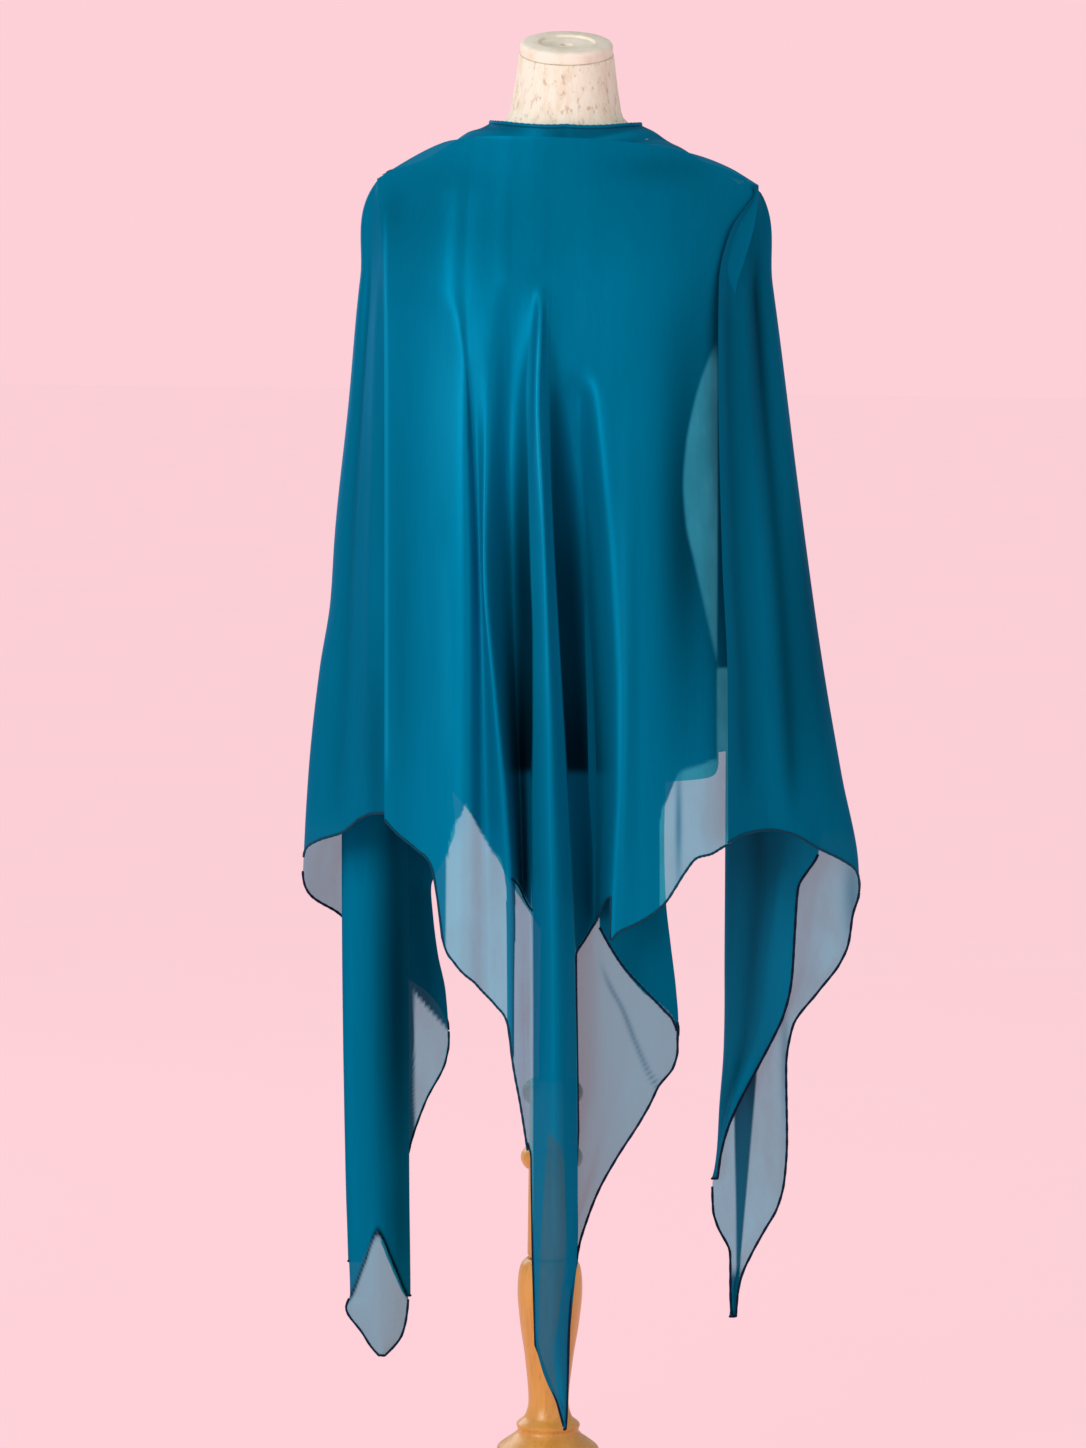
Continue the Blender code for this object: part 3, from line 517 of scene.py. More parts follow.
def front_left_layers(x, y):
    cover = np.where(x < 515, above(SHEER_APEX, x, y), above(VEE, x, y))
    cover = np.maximum(cover, 0.35 * patch(x, y, 452, 815, 12, 25))
    # painted shade on the left panel and the shoulder, and painted highlights on the ridges where the darkness is
    # negative
    shade_and_highlight = valley_shadow(x, y) + shade_patches(
        x, y, (402, 640, 16, 220, 0.22), (450, 410, 24, 110, -0.16), (470, 230, 60, 45, 0.12),
        (395, 215, 14, 30, 0.15), (481, 600, 10, 170, -0.25),
    )
    # a painted highlight line along the front's left fold edge
    edge = np.exp(-(((x - 387.5) / 1.8) ** 2))
    return cover, shade_and_highlight - 0.45 * edge * smooth((y - 200) / 60) * smooth((800 - y) / 60)


def front_fall_layers(x, y):
    inner = right_of(STRIP_SHEER_LEFT, x, y) * (1 - right_of(STRIP_SHEER_RIGHT, x, y)) * smooth((y - 1128) / 6)
    past_left, past_right = right_of(STRIP_LEFT, x, y, 2), right_of(STRIP_RIGHT, x, y, 2)
    thin = 1 - 0.16 * inner
    middle = np.where(y > 1221, thin, past_left * (1 - past_right) * thin)
    cover = np.clip(above(VEE, x, y) * (1 - past_left) + above(VEE, x, y) * past_right + middle, 0, 1)
    # painted shade beside the pleats and in the sheer foot of the strip, and a painted highlight on the pleat's edge
    shade_and_highlight = valley_shadow(x, y) + shade_patches(x, y, (542, 400, 5, 90, -0.25), (556, 420, 8, 90, 0.20)) + 0.42 * inner
    # painted shade below the torso's edge and a painted highlight on the fall above it
    shade_and_highlight += 0.06 * smooth((y - 760) / 120) - 0.12 * smooth((760 - y) / 120) * smooth((y - 360) / 120)
    return cover, shade_and_highlight


def front_right_layers(x, y):
    strip = right_of(TORSO_EDGE, x, y, 5) * smooth((y - 335) / 30) * smooth((718.5 - x) / 3)
    window = smooth((x - 716) / 3) * smooth((y - 662) / 4)
    cover = np.where(x < 613, 1.0, above(RIGHT_SHEER, x, y)) * (1 - 0.92 * strip) * (1 - window)
    cover = np.maximum(cover, 0.75 * patch(x, y, 679, 820, 3.5, 60))
    # painted shade in the dark zone by the torso's edge, and patches of painted shade and painted highlight
    shade_and_highlight = valley_shadow(x, y) + (1 - strip) * 0.72 * patch(x, y, 684, 520, 26, 190)
    return cover, shade_and_highlight + shade_patches(
        x, y, (738, 262, 14, 60, 0.05), (660, 165, 50, 16, 0.18), (624, 620, 8, 200, -0.10),
        (620, 280, 50, 60, -0.06),
    )


def set_back_layers(x, y):
    # a painted shadow line along the crease
    crease_shadow = np.exp(-(((x - SET_BACK_CREASE.read("across", y)) / 2.6) ** 2)) * smooth((y - 950) / 40) * (y < 1086)
    upper = np.maximum(above(VEE, np.minimum(x, 612), y), np.where(x > 600, above(TURN_EDGE, x, y), 0))
    # painted shade: a dark patch where the column shows through the cloth
    column = smooth((x - 517) / 3) * smooth((535 - x) / 3) * smooth((y - 1076) / 6) * smooth((1152 - y) / 6)
    # painted shade above the V and the turn edge, along the crease and over the column
    return np.clip(upper + 0.55 * crease_shadow + 0.8 * column, 0, 1), 0.40 * upper + 0.55 * crease_shadow + 0.7 * column


def turn_layers(x, y):
    # the whole turn is painted in shade
    return np.ones_like(x), np.full_like(x, 0.30)


def left_drape_layers(x, y):
    # painted shade over the whole drape, with a painted shadow low down and a painted highlight higher up
    return np.ones_like(x), 0.10 + shade_patches(x, y, (378, 760, 10, 120, 0.28), (372, 330, 8, 120, -0.10))


def left_back_layers(x, y):
    cover = np.maximum(smooth((x - 346) / 12), smooth((836 - y) / 22))
    # painted shade where the cloth is close, deepest just under the drape's hem
    return cover, cover * (0.15 + 0.34 * patch(x, y, 400, 850, 40, 60))


def left_tail_inner_layers(x, y):
    cover = np.maximum(1 - smooth((x - 416) / 3 + 0.5), smooth((1033 - 1.12 * (450 - x) - y) / 4))
    # painted shade where the cloth is close
    return cover, 0.30 * cover


def left_tail_layers(x, y):
    edge = np.exp(-(((DIAMOND.read("down", x) - y) / 4.5) ** 2)) * smooth((x - 347) / 4) * smooth((411 - x) / 4)
    cover = np.maximum(above(DIAMOND, x, y), edge)
    foot = 0.10 * smooth((x - 380) / 8) * smooth((y - 1170) / 50)
    # painted shade where the cloth is close, deeper in a patch and towards the foot
    return cover, 0.85 * edge + cover * (0.16 + 0.50 * patch(x, y, 398, 1010, 24, 190) + foot)


def right_drape_layers(x, y):
    # painted shade over the whole drape, with patches of painted shade and a painted highlight low down
    return np.ones_like(x), 0.24 + shade_patches(
        x, y, (752, 340, 14, 150, 0.24), (815, 560, 24, 200, 0.30), (790, 790, 30, 60, -0.12)
    )


def right_tail_back_layers(x, y):
    strip_left, strip_right = 735 + (y - 1110) * 0.014, 757 - (y - 1070) * 0.085
    strip = smooth((x - strip_left) / 2.5 + 0.5) * smooth((strip_right - x) / 2.5 + 0.5) * smooth((y - 1040) / 30)
    rim = shade_patches(x, y, (853, 890, 9, 45, 0.6), (786, 1060, 4, 60, 0.5))
    cover = np.clip(strip + rim + smooth((y - 1262) / 16) + smooth((835 - y) / 14), 0, 1)
    # painted shade where the cloth is close
    return cover, 0.28 * cover


def right_tail_front_layers(x, y):
    # a patch of painted shade at the top, a painted highlight line, and the rest painted a little lighter
    return np.ones_like(x), shade_patches(x, y, (770, 845, 34, 40, 0.30), (745, 1000, 8, 120, -0.10)) - 0.05


def back_layers(x, y):
    # painted shade over the back, deepest in the middle low down
    return np.ones_like(x), 0.10 + 0.30 * patch(x, y, 562, 850, 60, 90)


class Wire:
    """The output of a node, with arithmetic that adds the nodes it needs."""

    def __init__(self, tree, socket=None):
        self.tree, self.socket = tree, socket

    def node(self, kind, settings=None, inputs=None, out=0):
        made = self.tree.nodes.new(kind)
        for key, value in (settings or {}).items():
            setattr(made, key, value)
        for key, value in (inputs or {}).items():
            self.feed(made.inputs[key], value)
        return Wire(self.tree, made.outputs[out])

    def feed(self, socket, value):
        if isinstance(value, Wire):
            self.tree.links.new(value.socket, socket)
        else:
            socket.default_value = value

    def maths(self, operation, *values):
        return self.node("ShaderNodeMath", {"operation": operation}, dict(enumerate(values)))

    def __add__(self, other):
        return self.maths("ADD", self, other)

    def __radd__(self, other):
        return self.maths("ADD", other, self)

    def __sub__(self, other):
        return self.maths("SUBTRACT", self, other)

    def __rsub__(self, other):
        return self.maths("SUBTRACT", other, self)

    def __mul__(self, other):
        return self.maths("MULTIPLY", self, other)

    def __rmul__(self, other):
        return self.maths("MULTIPLY", other, self)

    def within(self, low, high):
        """0 at low and 1 at high, no less and no more."""
        return self.node(
            "ShaderNodeMapRange", {"clamp": True}, {"Value": self, "From Min": low, "From Max": high}
        )

    def blend(self, first, second):
        """The first colour where this is 0 and the second where it is 1."""
        return self.node(
            "ShaderNodeMix", {"data_type": "RGBA"}, {0: self, 6: first, 7: second}, out=2
        )


class Finish(Wire):
    """A material, with its shader and the nodes that feed it."""

    def __init__(self, name, **constants):
        self.material = bpy.data.materials.new(name)
        self.material.use_nodes = True
        super().__init__(self.material.node_tree)
        self.shader = self.tree.nodes["Principled BSDF"]
        self.place = self.node("ShaderNodeTexCoord", out="Object")
        for key, value in constants.items():
            self.shader.inputs[key.replace("_", " ")].default_value = value

    def grain(self, scale, detail=2.0, stretch=(1, 1, 1), roughness=0.5):
        spread = self.node(
            "ShaderNodeMapping", {"vector_type": "POINT"}, {"Vector": self.place, "Scale": stretch}
        )
        return self.node(
            "ShaderNodeTexNoise", {}, {"Vector": spread, "Scale": scale, "Detail": detail, "Roughness": roughness}
        )

    def show(self, color=None, roughness=None, alpha=None, relief=None, distance=0.001, strength=0.5):
        for key, value in (("Base Color", color), ("Roughness", roughness), ("Alpha", alpha)):
            if value is not None:
                self.feed(self.shader.inputs[key], value)
        if relief is not None:
            bump = self.node(
                "ShaderNodeBump", {}, {"Height": relief, "Distance": distance, "Strength": strength}
            )
            self.feed(self.shader.inputs["Normal"], bump)
        return self.material


def rgb(red, green, blue):
    return (red, green, blue, 1.0)


def silk(name):
    """Satin: a very fine weave, a slow change of tone along the yarn, sheer where it hangs in one layer; with painted
    shade, painted highlights and a painted glow.
    """
    made = Finish(
        name, IOR=1.2, Metallic=0.34, Emission_Strength=1.0, Specular_IOR_Level=0.05,
        Specular_Tint=rgb(0.01, 0.55, 0.90),
    )
    shade_and_highlight, cover, through_glow = (
        made.node("ShaderNodeAttribute", {"attribute_name": key}, out="Fac") for key in ("shade_and_highlight", "cover", "through_glow")
    )
    cloudy = made.grain(9.0, 3.0, (1.0, 1.0, 0.35)).within(0.3, 0.75)
    mist = made.grain(24.0, 5.0, (1.0, 1.0, 0.45), 0.6).within(0.36, 0.64)
    weave = made.grain(1500.0, 1.0, (1.0, 1.0, 0.4))
    slub = made.grain(260.0, 2.0, (1.0, 1.0, 0.06)).within(0.35, 0.8)
    close = cloudy.blend(rgb(0.0, 0.182, 0.320), rgb(0.0, 0.160, 0.285))
    # the sheer tone is painted lighter than the close one, for the light that comes through a single layer
    sheer = cloudy.blend(rgb(0.01, 0.245, 0.335), rgb(0.01, 0.225, 0.310))
    tone = cover.blend(sheer, close)
    tone = (slub * 0.08).blend(tone, rgb(0.0, 0.06, 0.11))
    # painted shade darkens the tone towards near black, and a painted highlight, where it is negative, lightens it
    # towards bright teal
    tone = shade_and_highlight.within(0.0, 1.0).blend(tone, rgb(0.0, 0.006, 0.012))
    tone = (-1.0 * shade_and_highlight).within(0.0, 1.0).blend(tone, rgb(0.01, 0.40, 0.66))
    # painted glow where the cloth hangs sheer, standing in for the paper's light coming through
    glow = (through_glow * (0.62 + 0.5 * mist)).blend(rgb(0.0, 0.0, 0.0), rgb(0.030, 0.140, 0.200))
    made.feed(made.shader.inputs["Emission Color"], glow)
    return made.show(
        tone,
        roughness=0.44 + 0.08 * weave,
        alpha=0.775 + 0.215 * cover,
        relief=weave * 0.6 + slub * 0.5,
        distance=0.00025,
        strength=0.35,
    )


def hem_finish(name, color):
    """The rolled hem, whipped over with fine stitches."""
    made = Finish(name, Specular_IOR_Level=0.1)
    wave = made.grain(900.0, 1.0)
    return made.show(
        wave.within(0.35, 0.7).blend(color, [1.7 * c + 0.004 for c in color[:3]] + [1.0]),
        roughness=0.62 + 0.15 * wave,
        relief=wave,
        distance=0.0004,
        strength=0.6,
    )


def linen_finish():
    """Old cream linen over the form, stained in streaks at the neck; below the scarf's top the body is painted
    near-black, as shade under the scarf.
    """
    made = Finish("form_linen", Specular_IOR_Level=0.25)
    up = made.node("ShaderNodeSeparateXYZ", {}, {"Vector": made.place}, out="Z")
    # painted shade: below the scarf's top edge the body is painted near-black, for the shade under the scarf
    under_scarf_shade = 1.0 - up.within(1.375, 1.395)
    streaks = made.grain(75.0, 6.0, (1.0, 1.0, 0.28), 0.72).within(0.44, 0.66)
    spots = made.grain(210.0, 3.0, (1.0, 1.0, 0.45), 0.6).within(0.56, 0.68)
    weave = made.grain(1100.0, 1.0)
    neck = (streaks * 0.5).blend(rgb(0.90, 0.84, 0.70), rgb(0.68, 0.52, 0.33))
    neck = (spots * 0.6).blend(neck, rgb(0.50, 0.35, 0.20))
    body = streaks.blend(rgb(0.030, 0.034, 0.038), rgb(0.022, 0.024, 0.026))
    return made.show(
        under_scarf_shade.blend(neck, body),
        roughness=0.82 + 0.12 * weave,
        relief=weave * 0.5 + streaks * 0.5,
        distance=0.0006,
        strength=0.5,
    )


def cap_finish():
    made = Finish("cap_linen", Specular_IOR_Level=0.3)
    blotch = made.grain(70.0, 4.0).within(0.45, 0.75)
    weave = made.grain(1000.0, 1.0)
    return made.show(
        (blotch * 0.5).blend(rgb(0.90, 0.83, 0.70), rgb(0.70, 0.56, 0.38)),
        roughness=0.7 + 0.15 * weave,
        relief=weave,
        distance=0.0005,
        strength=0.4,
    )


def wood_finish():
    """Honey beech, turned and waxed, with the grain running down the stand."""
    made = Finish("honey_wood", Coat_Weight=0.25, Coat_Roughness=0.25, Specular_IOR_Level=0.5)
    figure = made.grain(14.0, 4.0, (3.0, 3.0, 0.35), 0.6)
    pores = made.grain(420.0, 2.0, (1.0, 1.0, 0.05)).within(0.55, 0.75)
    tone = figure.within(0.3, 0.7).blend(rgb(0.75, 0.365, 0.070), rgb(0.56, 0.245, 0.035))
    return made.show(
        (pores * 0.35).blend(tone, rgb(0.34, 0.12, 0.03)),
        roughness=0.32 + 0.16 * figure,
        relief=pores,
        distance=0.0002,
        strength=0.3,
    )


def iron_finish(name, color, roughness):
    made = Finish(name, Metallic=0.8)
    wear = made.grain(60.0, 4.0, (1.0, 1.0, 0.3))
    return made.show(
        wear.within(0.4, 0.8).blend(color, [1.6 * c + 0.01 for c in color[:3]] + [1.0]),
        roughness=roughness + 0.2 * wear,
        relief=wear,
        distance=0.0003,
        strength=0.3,
    )


def placed(name, data):
    """A new object with this data, in the scene."""
    made = bpy.data.objects.new(name, data)
    bpy.context.scene.collection.objects.link(made)
    return made


def mark(data, key, values):
    """One number for each point of a mesh, for its material to read."""
    data.attributes.new(key, "FLOAT", "POINT").data.foreach_set("value", values)


def tube_faces(rings, sides, closed=False):
    """Faces between rings that lie one after another, with flat ends unless the last ring meets the first."""
    faces = []
    for r in range(rings if closed else rings - 1):
        n = (r + 1) % rings
        for k in range(sides):
            m = (k + 1) % sides
            faces.append((r * sides + k, r * sides + m, n * sides + m, n * sides + k))
    if not closed:
        faces += [tuple(range(sides))[::-1], tuple((rings - 1) * sides + k for k in range(sides))]
    return faces


def add_piece(name, vertices, faces, look, replaced, normals=None, layers=None):
    data = bpy.data.meshes.new(name)
    data.from_pydata([tuple(map(float, v)) for v in vertices], [], faces)
    data.shade_smooth()
    for key, values in (layers or {}).items():
        mark(data, key, np.asarray(values, float).ravel())
    if normals is not None:
        data.normals_split_custom_set_from_vertices([tuple(map(float, n)) for n in normals])
    data.materials.append(look)
    piece = placed(name, data)
    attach(piece, "root")
    if replaced:
        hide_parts(*replaced)
    return piece


def cloth_piece(name, points, normals, layers, look, replaced, closed=False):
    columns, rows = points.shape[:2]
    faces = []
    for c in range(columns if closed else columns - 1):
        n = (c + 1) % columns
        for r in range(rows - 1):
            faces.append((c * rows + r, n * rows + r, n * rows + r + 1, c * rows + r + 1))
    c, r = columns // 2, rows // 2
    side, fall = points[c + 1, r] - points[c, r], points[c, r + 1] - points[c, r]
    if np.dot(np.cross(side, fall), normals[c, r]) < 0:
        faces = [f[::-1] for f in faces]
    return add_piece(
        name, points.reshape(-1, 3), faces, look, replaced, normals.reshape(-1, 3), layers
    )


def rolled_hem(name, path, radius, look, sides=6, closed=False):
    """A narrow roll of cloth along an edge, with a slight swell at each stitch."""
    path = np.array(path)
    keep = [0]
    for i in range(1, len(path)):
        if np.linalg.norm(path[i] - path[keep[-1]]) > HEM_STEP * MM:
            keep.append(i)
    path = path[keep]
    count = len(path)
    vertices = []
    frame_side = None
    for i in range(count):
        ahead = path[(i + 1) % count] if closed else path[min(i + 1, count - 1)]
        before = path[i - 1] if (closed or i) else path[0]
        along = ahead - before
        along = along / np.linalg.norm(along)
        if frame_side is None:
            frame_side = np.cross(along, (0.3, 1.0, 0.2))
        frame_side = frame_side - along * np.dot(frame_side, along)
        frame_side = frame_side / np.linalg.norm(frame_side)
        up = np.cross(along, frame_side)
        swell = radius * (1 + STITCH_SWELL * math.sin(STITCH_TURN * i)) * MM
        for k in range(sides):
            angle = 2 * math.pi * k / sides
            vertices.append(path[i] + swell * (math.cos(angle) * frame_side + math.sin(angle) * up))
    return add_piece(name, vertices, tube_faces(count, sides, closed), look, ())


def build_cloth(satin, navy, teal):
    right_edge_line = line((187, 210, 250, 305, 560, 700, 842), (758, 756, 746, 732, 727, 731, 731),
                           (-19, -33, -48, -61, -80, -88, -95))
    front = Fall(calmed(FRONT[:-1] + (right_edge_line,), 300), FRONT_CREASES, -1, 1.0)
    set_back = Fall(SET_BACK, SET_BACK_CREASES, -1, 0.8)
    # the left drape starts just under the front's edge
    tucked = line((188, 266, 330, 560, 816), (382, 388, 389, 389, 389), (-17, -47, -59, -77, -88))
    left = Fall((tucked,) + LEFT[1:], LEFT_CREASES, 1, 0.8)
    right = Fall(RIGHT, RIGHT_CREASES, -1, 0.8)
    back = Fall(BACK, BACK_CREASES, 1, 1.2)
    side_top = Table(fold=(0, 1, 2, 3, 4, 5), down=(189, 177, 171.2, 172, 171, 179))
    right_top = Table(fold=(0, 1, 2, 3, 4, 5), down=(183, 184, 178, 171.3, 181, 185))
    front_top = Table(
        fold=(0, 1, 2, 3, 4, 6, 8, 9, 10, 11, 11.5, 12),
        down=(182, 143, 139, 138, 138, 138, 139, 140, 144, 155, 166, 183),
    )
    fall_hem = Table(
        fold=(4, 4.3, 4.6, 4.8, 4.88, 4.91, 4.94, 4.97, 5, 5.03, 5.06, 5.1, 5.3, 6, 6.9, 6.95, 6.98, 7.01, 7.04, 7.07,
              7.1, 7.14, 7.3, 8),
        down=(1143, 1146, 1149, 1152, 1158, 1195, 1290, 1385, 1421, 1428, 1429, 1430, 1430.5, 1431, 1430, 1429, 1400,
              1200, 990, 955, 950, 948, 944, 922),
    )
    right_hem = Table(
        fold=(8, 8.94, 8.99, 9.3, 9.86, 10.53, 10.72, 10.88, 11.17, 11.5, 11.9, 12),
        down=(922, 894, 938, 930, 921, 898, 883, 870, 854, 850, 841, 840),
    )
    turn_hem = Table(fold=(2, 2.3, 2.5, 3, 3.5, 4), down=(1034, 1016, 1005, 988, 958, 925))
    back_top = Table(fold=(0, 1, 2, 3, 4, 5, 6), down=(177, 158, 147, 146, 147, 158, 187))
    # name, fall, first and last fold, top, hem, columns, rows, layers, hem's finish
    stretches = (
        ("front_left", front, 0, 4, front_top, FRONT_LEFT_HEM, 110, 260, front_left_layers, teal),
        ("front_fall", front, 4, 8, front_top, fall_hem, 160, 330, front_fall_layers, navy),
        ("front_right", front, 8, 12, front_top, right_hem, 130, 230, front_right_layers, teal),
        ("front_set_back", set_back, 0, 2, level(432, 0, 2), level(1285, 0, 2), 70, 200, set_back_layers, navy),
        ("front_turn", set_back, 2, 4, level(702, 2, 4), turn_hem, 50, 110, turn_layers, navy),
        ("left_drape", left, 0, 2, side_top, LEFT_DRAPE_HEM, 60, 150, left_drape_layers, teal),
        ("left_back", left, 2, 5, side_top, LEFT_BACK_HEM, 80, 180, left_back_layers, navy),
        ("left_tail_inner", left, 5, 7, level(302, 5, 7), level(1264, 5, 7), 60, 220, left_tail_inner_layers, navy),
        ("left_tail_front", left, 7, 9, level(302, 7, 9), level(1359, 7, 9), 60, 260, left_tail_layers, navy),
        ("left_tail_turn", left, 9, 11, level(302, 9, 11), level(1298, 9, 11), 50, 220, left_tail_layers, navy),
        ("right_drape", right, 0, 3, right_top, RIGHT_DRAPE_HEM, 90, 150, right_drape_layers, teal),
        ("right_tail_back", right, 3, 5, right_top, level(1315, 3, 5), 80, 260, right_tail_back_layers, navy),
        ("right_tail_front", right, 5, 7, level(302, 5, 7), level(1176, 5, 7), 60, 180, right_tail_front_layers,
         navy),
        ("back", back, 0, 6, back_top, BACK_HEM, 160, 160, back_layers, navy),
    )
    # where a stretch's left and right sides are a hem too, the distances down that it starts and ends at
    side_hems = {
        "front_set_back": (None, (1018, 1286)),
        "left_tail_inner": ((1030, 1264), None),
        "left_tail_front": ((1298, 1359), (1298, 1359)),
        "left_tail_turn": (None, (1240, 1298)),
        "right_tail_back": ((886, 1315), (1180, 1315)),
        "right_tail_front": (None, (845, 1176)),
    }
    made = {}
    for name, fall, first, last, top, hem, columns, rows, lie, hem_look in stretches:
        points, normals, crease_shade_and_highlight, down, across = fall.sheet(first, last, top, hem, columns, rows)
        cover, shade_and_highlight = lie(across, down)
        # painted glow, standing in for light that passes through a single layer from the paper behind it
        through_glow = (1 - cover) * THROUGH.get(name, 1.0)
        # painted shade and highlight from the layers and the creases, weaker where the cloth is sheer
        layers = {"cover": cover, "shade_and_highlight": (shade_and_highlight + crease_shade_and_highlight) * (0.12 + 0.88 * cover), "through_glow": through_glow}
        piece = cloth_piece(name, points, normals, layers, satin, ["scarf_" + name])
        path = list(points[:, -1])
        left_edge, right_edge = side_hems.get(name, (None, None))
        if left_edge:
            path = [p for p, d in zip(points[0], down[0]) if left_edge[0] <= d <= left_edge[1]] + path
        if right_edge:
            side = [p for p, d in zip(points[-1], down[-1]) if right_edge[0] <= d <= right_edge[1]]
            path = path + side[::-1]
        made[name] = [piece, rolled_hem(name + "_hem", path, HEM_RADIUS, hem_look)]
    vee = (
        ("front_left", "vee_hem_left", (3.0, 4.0), (877, 893)),
        ("front_fall", "vee_hem_middle", (4.0, 5.0), (893, 909)),
    )
    for owner, name, folds, downs in vee:
        fold, down = np.linspace(*folds, 24), np.linspace(*downs, 24)
        made[owner].append(rolled_hem(name, front.surface(fold, down)[0], HEM_RADIUS, navy))
    edge_across = np.linspace(600, 677, 60)
    edge_down = TURN_EDGE.read("down", edge_across)
    edge_fold = [set_back_fold(set_back, x, y) for x, y in zip(edge_across, edge_down)]
    made["front_set_back"].append(
        rolled_hem("turn_edge_hem", set_back.surface(np.array(edge_fold), edge_down)[0], HEM_RADIUS, navy)
    )
    return made


# The ridge of the shoulders under the scarf, and how far forward the neck wrap reaches below the front fold
RIDGE = Table(half=(0, 60, 76, 92, 108, 140, 164, 180, 188), down=(128, 130, 133, 136.2, 143.2, 162, 170.6, 177, 183))
WRAP_FRONT = Table(half=(0, 45, 70, 92, 112, 140, 164, 188), depth=(-77, -72, -65, -57, -49, -36, -28, -14))
WRAP_BACK = Table(half=(0, 45, 70, 92, 112, 140, 164, 188), depth=(74, 73, 70, 66, 60, 52, 44, 26))


def build_neck_wrap(satin):
    """The scarf's turn round the neck: a standing edge that spreads on to both shoulders."""
    sides, steps = 216, 44
    angle = round_angles(sides)
    c, s = np.cos(angle), np.sin(angle)
    low, high = np.full(sides, 60.0), np.full(sides, 181.0)
    for _ in range(40):
        mid = 0.5 * (low + high)
        reach = np.where(s > 0, WRAP_BACK.read("depth", np.abs(mid * c)), -WRAP_FRONT.read("depth", np.abs(mid * c)))
        inside = np.abs(mid * s) < reach
        low, high = np.where(inside, mid, low), np.where(inside, high, mid)
    reach = 0.5 * (low + high)
    inner = 66 + 8 * np.abs(c)
    t = np.linspace(0, 1, steps)[None, :]
    radius = inner[:, None] + (reach - inner)[:, None] * t**1.2
    x, y = radius * c[:, None], radius * s[:, None]
    ridge = RIDGE.read("down", np.abs(x))
    drop = np.where(y < 0, 18, 13) * (y / 70) ** 2
    stand = (8 + 9 * np.minimum(s[:, None], 0) ** 2) * np.maximum(0, 1 - t / 0.4) ** 1.5
    folds = 1.1 * np.sin(9.0 * t + 2.0 * s[:, None] + 1.2 * c[:, None]) * smooth(t / 0.3) * smooth((1 - t) / 0.3)
    folds += 0.7 * np.sin(17.0 * t + 3 * angle[:, None]) * smooth(t / 0.3) * smooth((1 - t) / 0.3)
    points = world(x + AXIS_ACROSS_TOP - AXIS_LEAN * 75, ridge + drop - stand - folds, y)
    points[..., 0] = x * MM
    along = np.gradient(points, axis=1)
    around = np.roll(points, -1, 0) - np.roll(points, 1, 0)
    normals = np.cross(around, along)
    normals /= np.linalg.norm(normals, axis=-1, keepdims=True)
    if normals[0, steps // 2, 2] < 0:
        normals = -normals
    # painted shade inside the standing edge, and painted shade and painted highlight along the folds
    shade_and_highlight = 0.35 * (1 - smooth(t / 0.35)) * np.ones((sides, 1)) - 0.12 * folds
    layers = {"cover": np.ones_like(shade_and_highlight), "shade_and_highlight": shade_and_highlight}
    piece = cloth_piece("neck_wrap", points, normals, layers, satin, ["scarf_neck_wrap"], closed=True)
    roll = rolled_hem("neck_wrap_roll", points[:, 0], 2.0, satin, sides=12, closed=True)
    # the roll gets a little painted shade and no painted glow
    for key, value in (("cover", 1.0), ("shade_and_highlight", 0.05), ("through_glow", 0.0)):
        mark(roll.data, key, np.full(len(roll.data.vertices), value))
    return [piece, roll]


def form_ring(down, lift=0.0, tilt=0.0):
    a, b = FORM.read("half_width", down) + lift, FORM.read("half_depth", down) + lift
    angle = round_angles(FORM_RING_SIDES)
    c, s = np.cos(angle), np.sin(angle)
    power = 2 / FORM_ROUNDNESS if down > 130 else 1
    x = a * np.sign(c) * np.abs(c) ** power
    y = b * np.sign(s) * np.abs(s) ** power
    return np.stack([x, y, height(down) + y * math.tan(tilt)], -1) * MM


def loft(name, rings, look, replaced, sharp=30):
    """A solid through closed rings of points, with flat ends."""
    piece = add_piece(name, np.concatenate(rings), tube_faces(len(rings), len(rings[0])), look, replaced)
    mesh = bmesh.new()
    mesh.from_mesh(piece.data)
    bmesh.ops.recalc_face_normals(mesh, faces=mesh.faces)
    mesh.to_mesh(piece.data)
    mesh.free()
    piece.data.set_sharp_from_angle(angle=math.radians(sharp))
    return piece


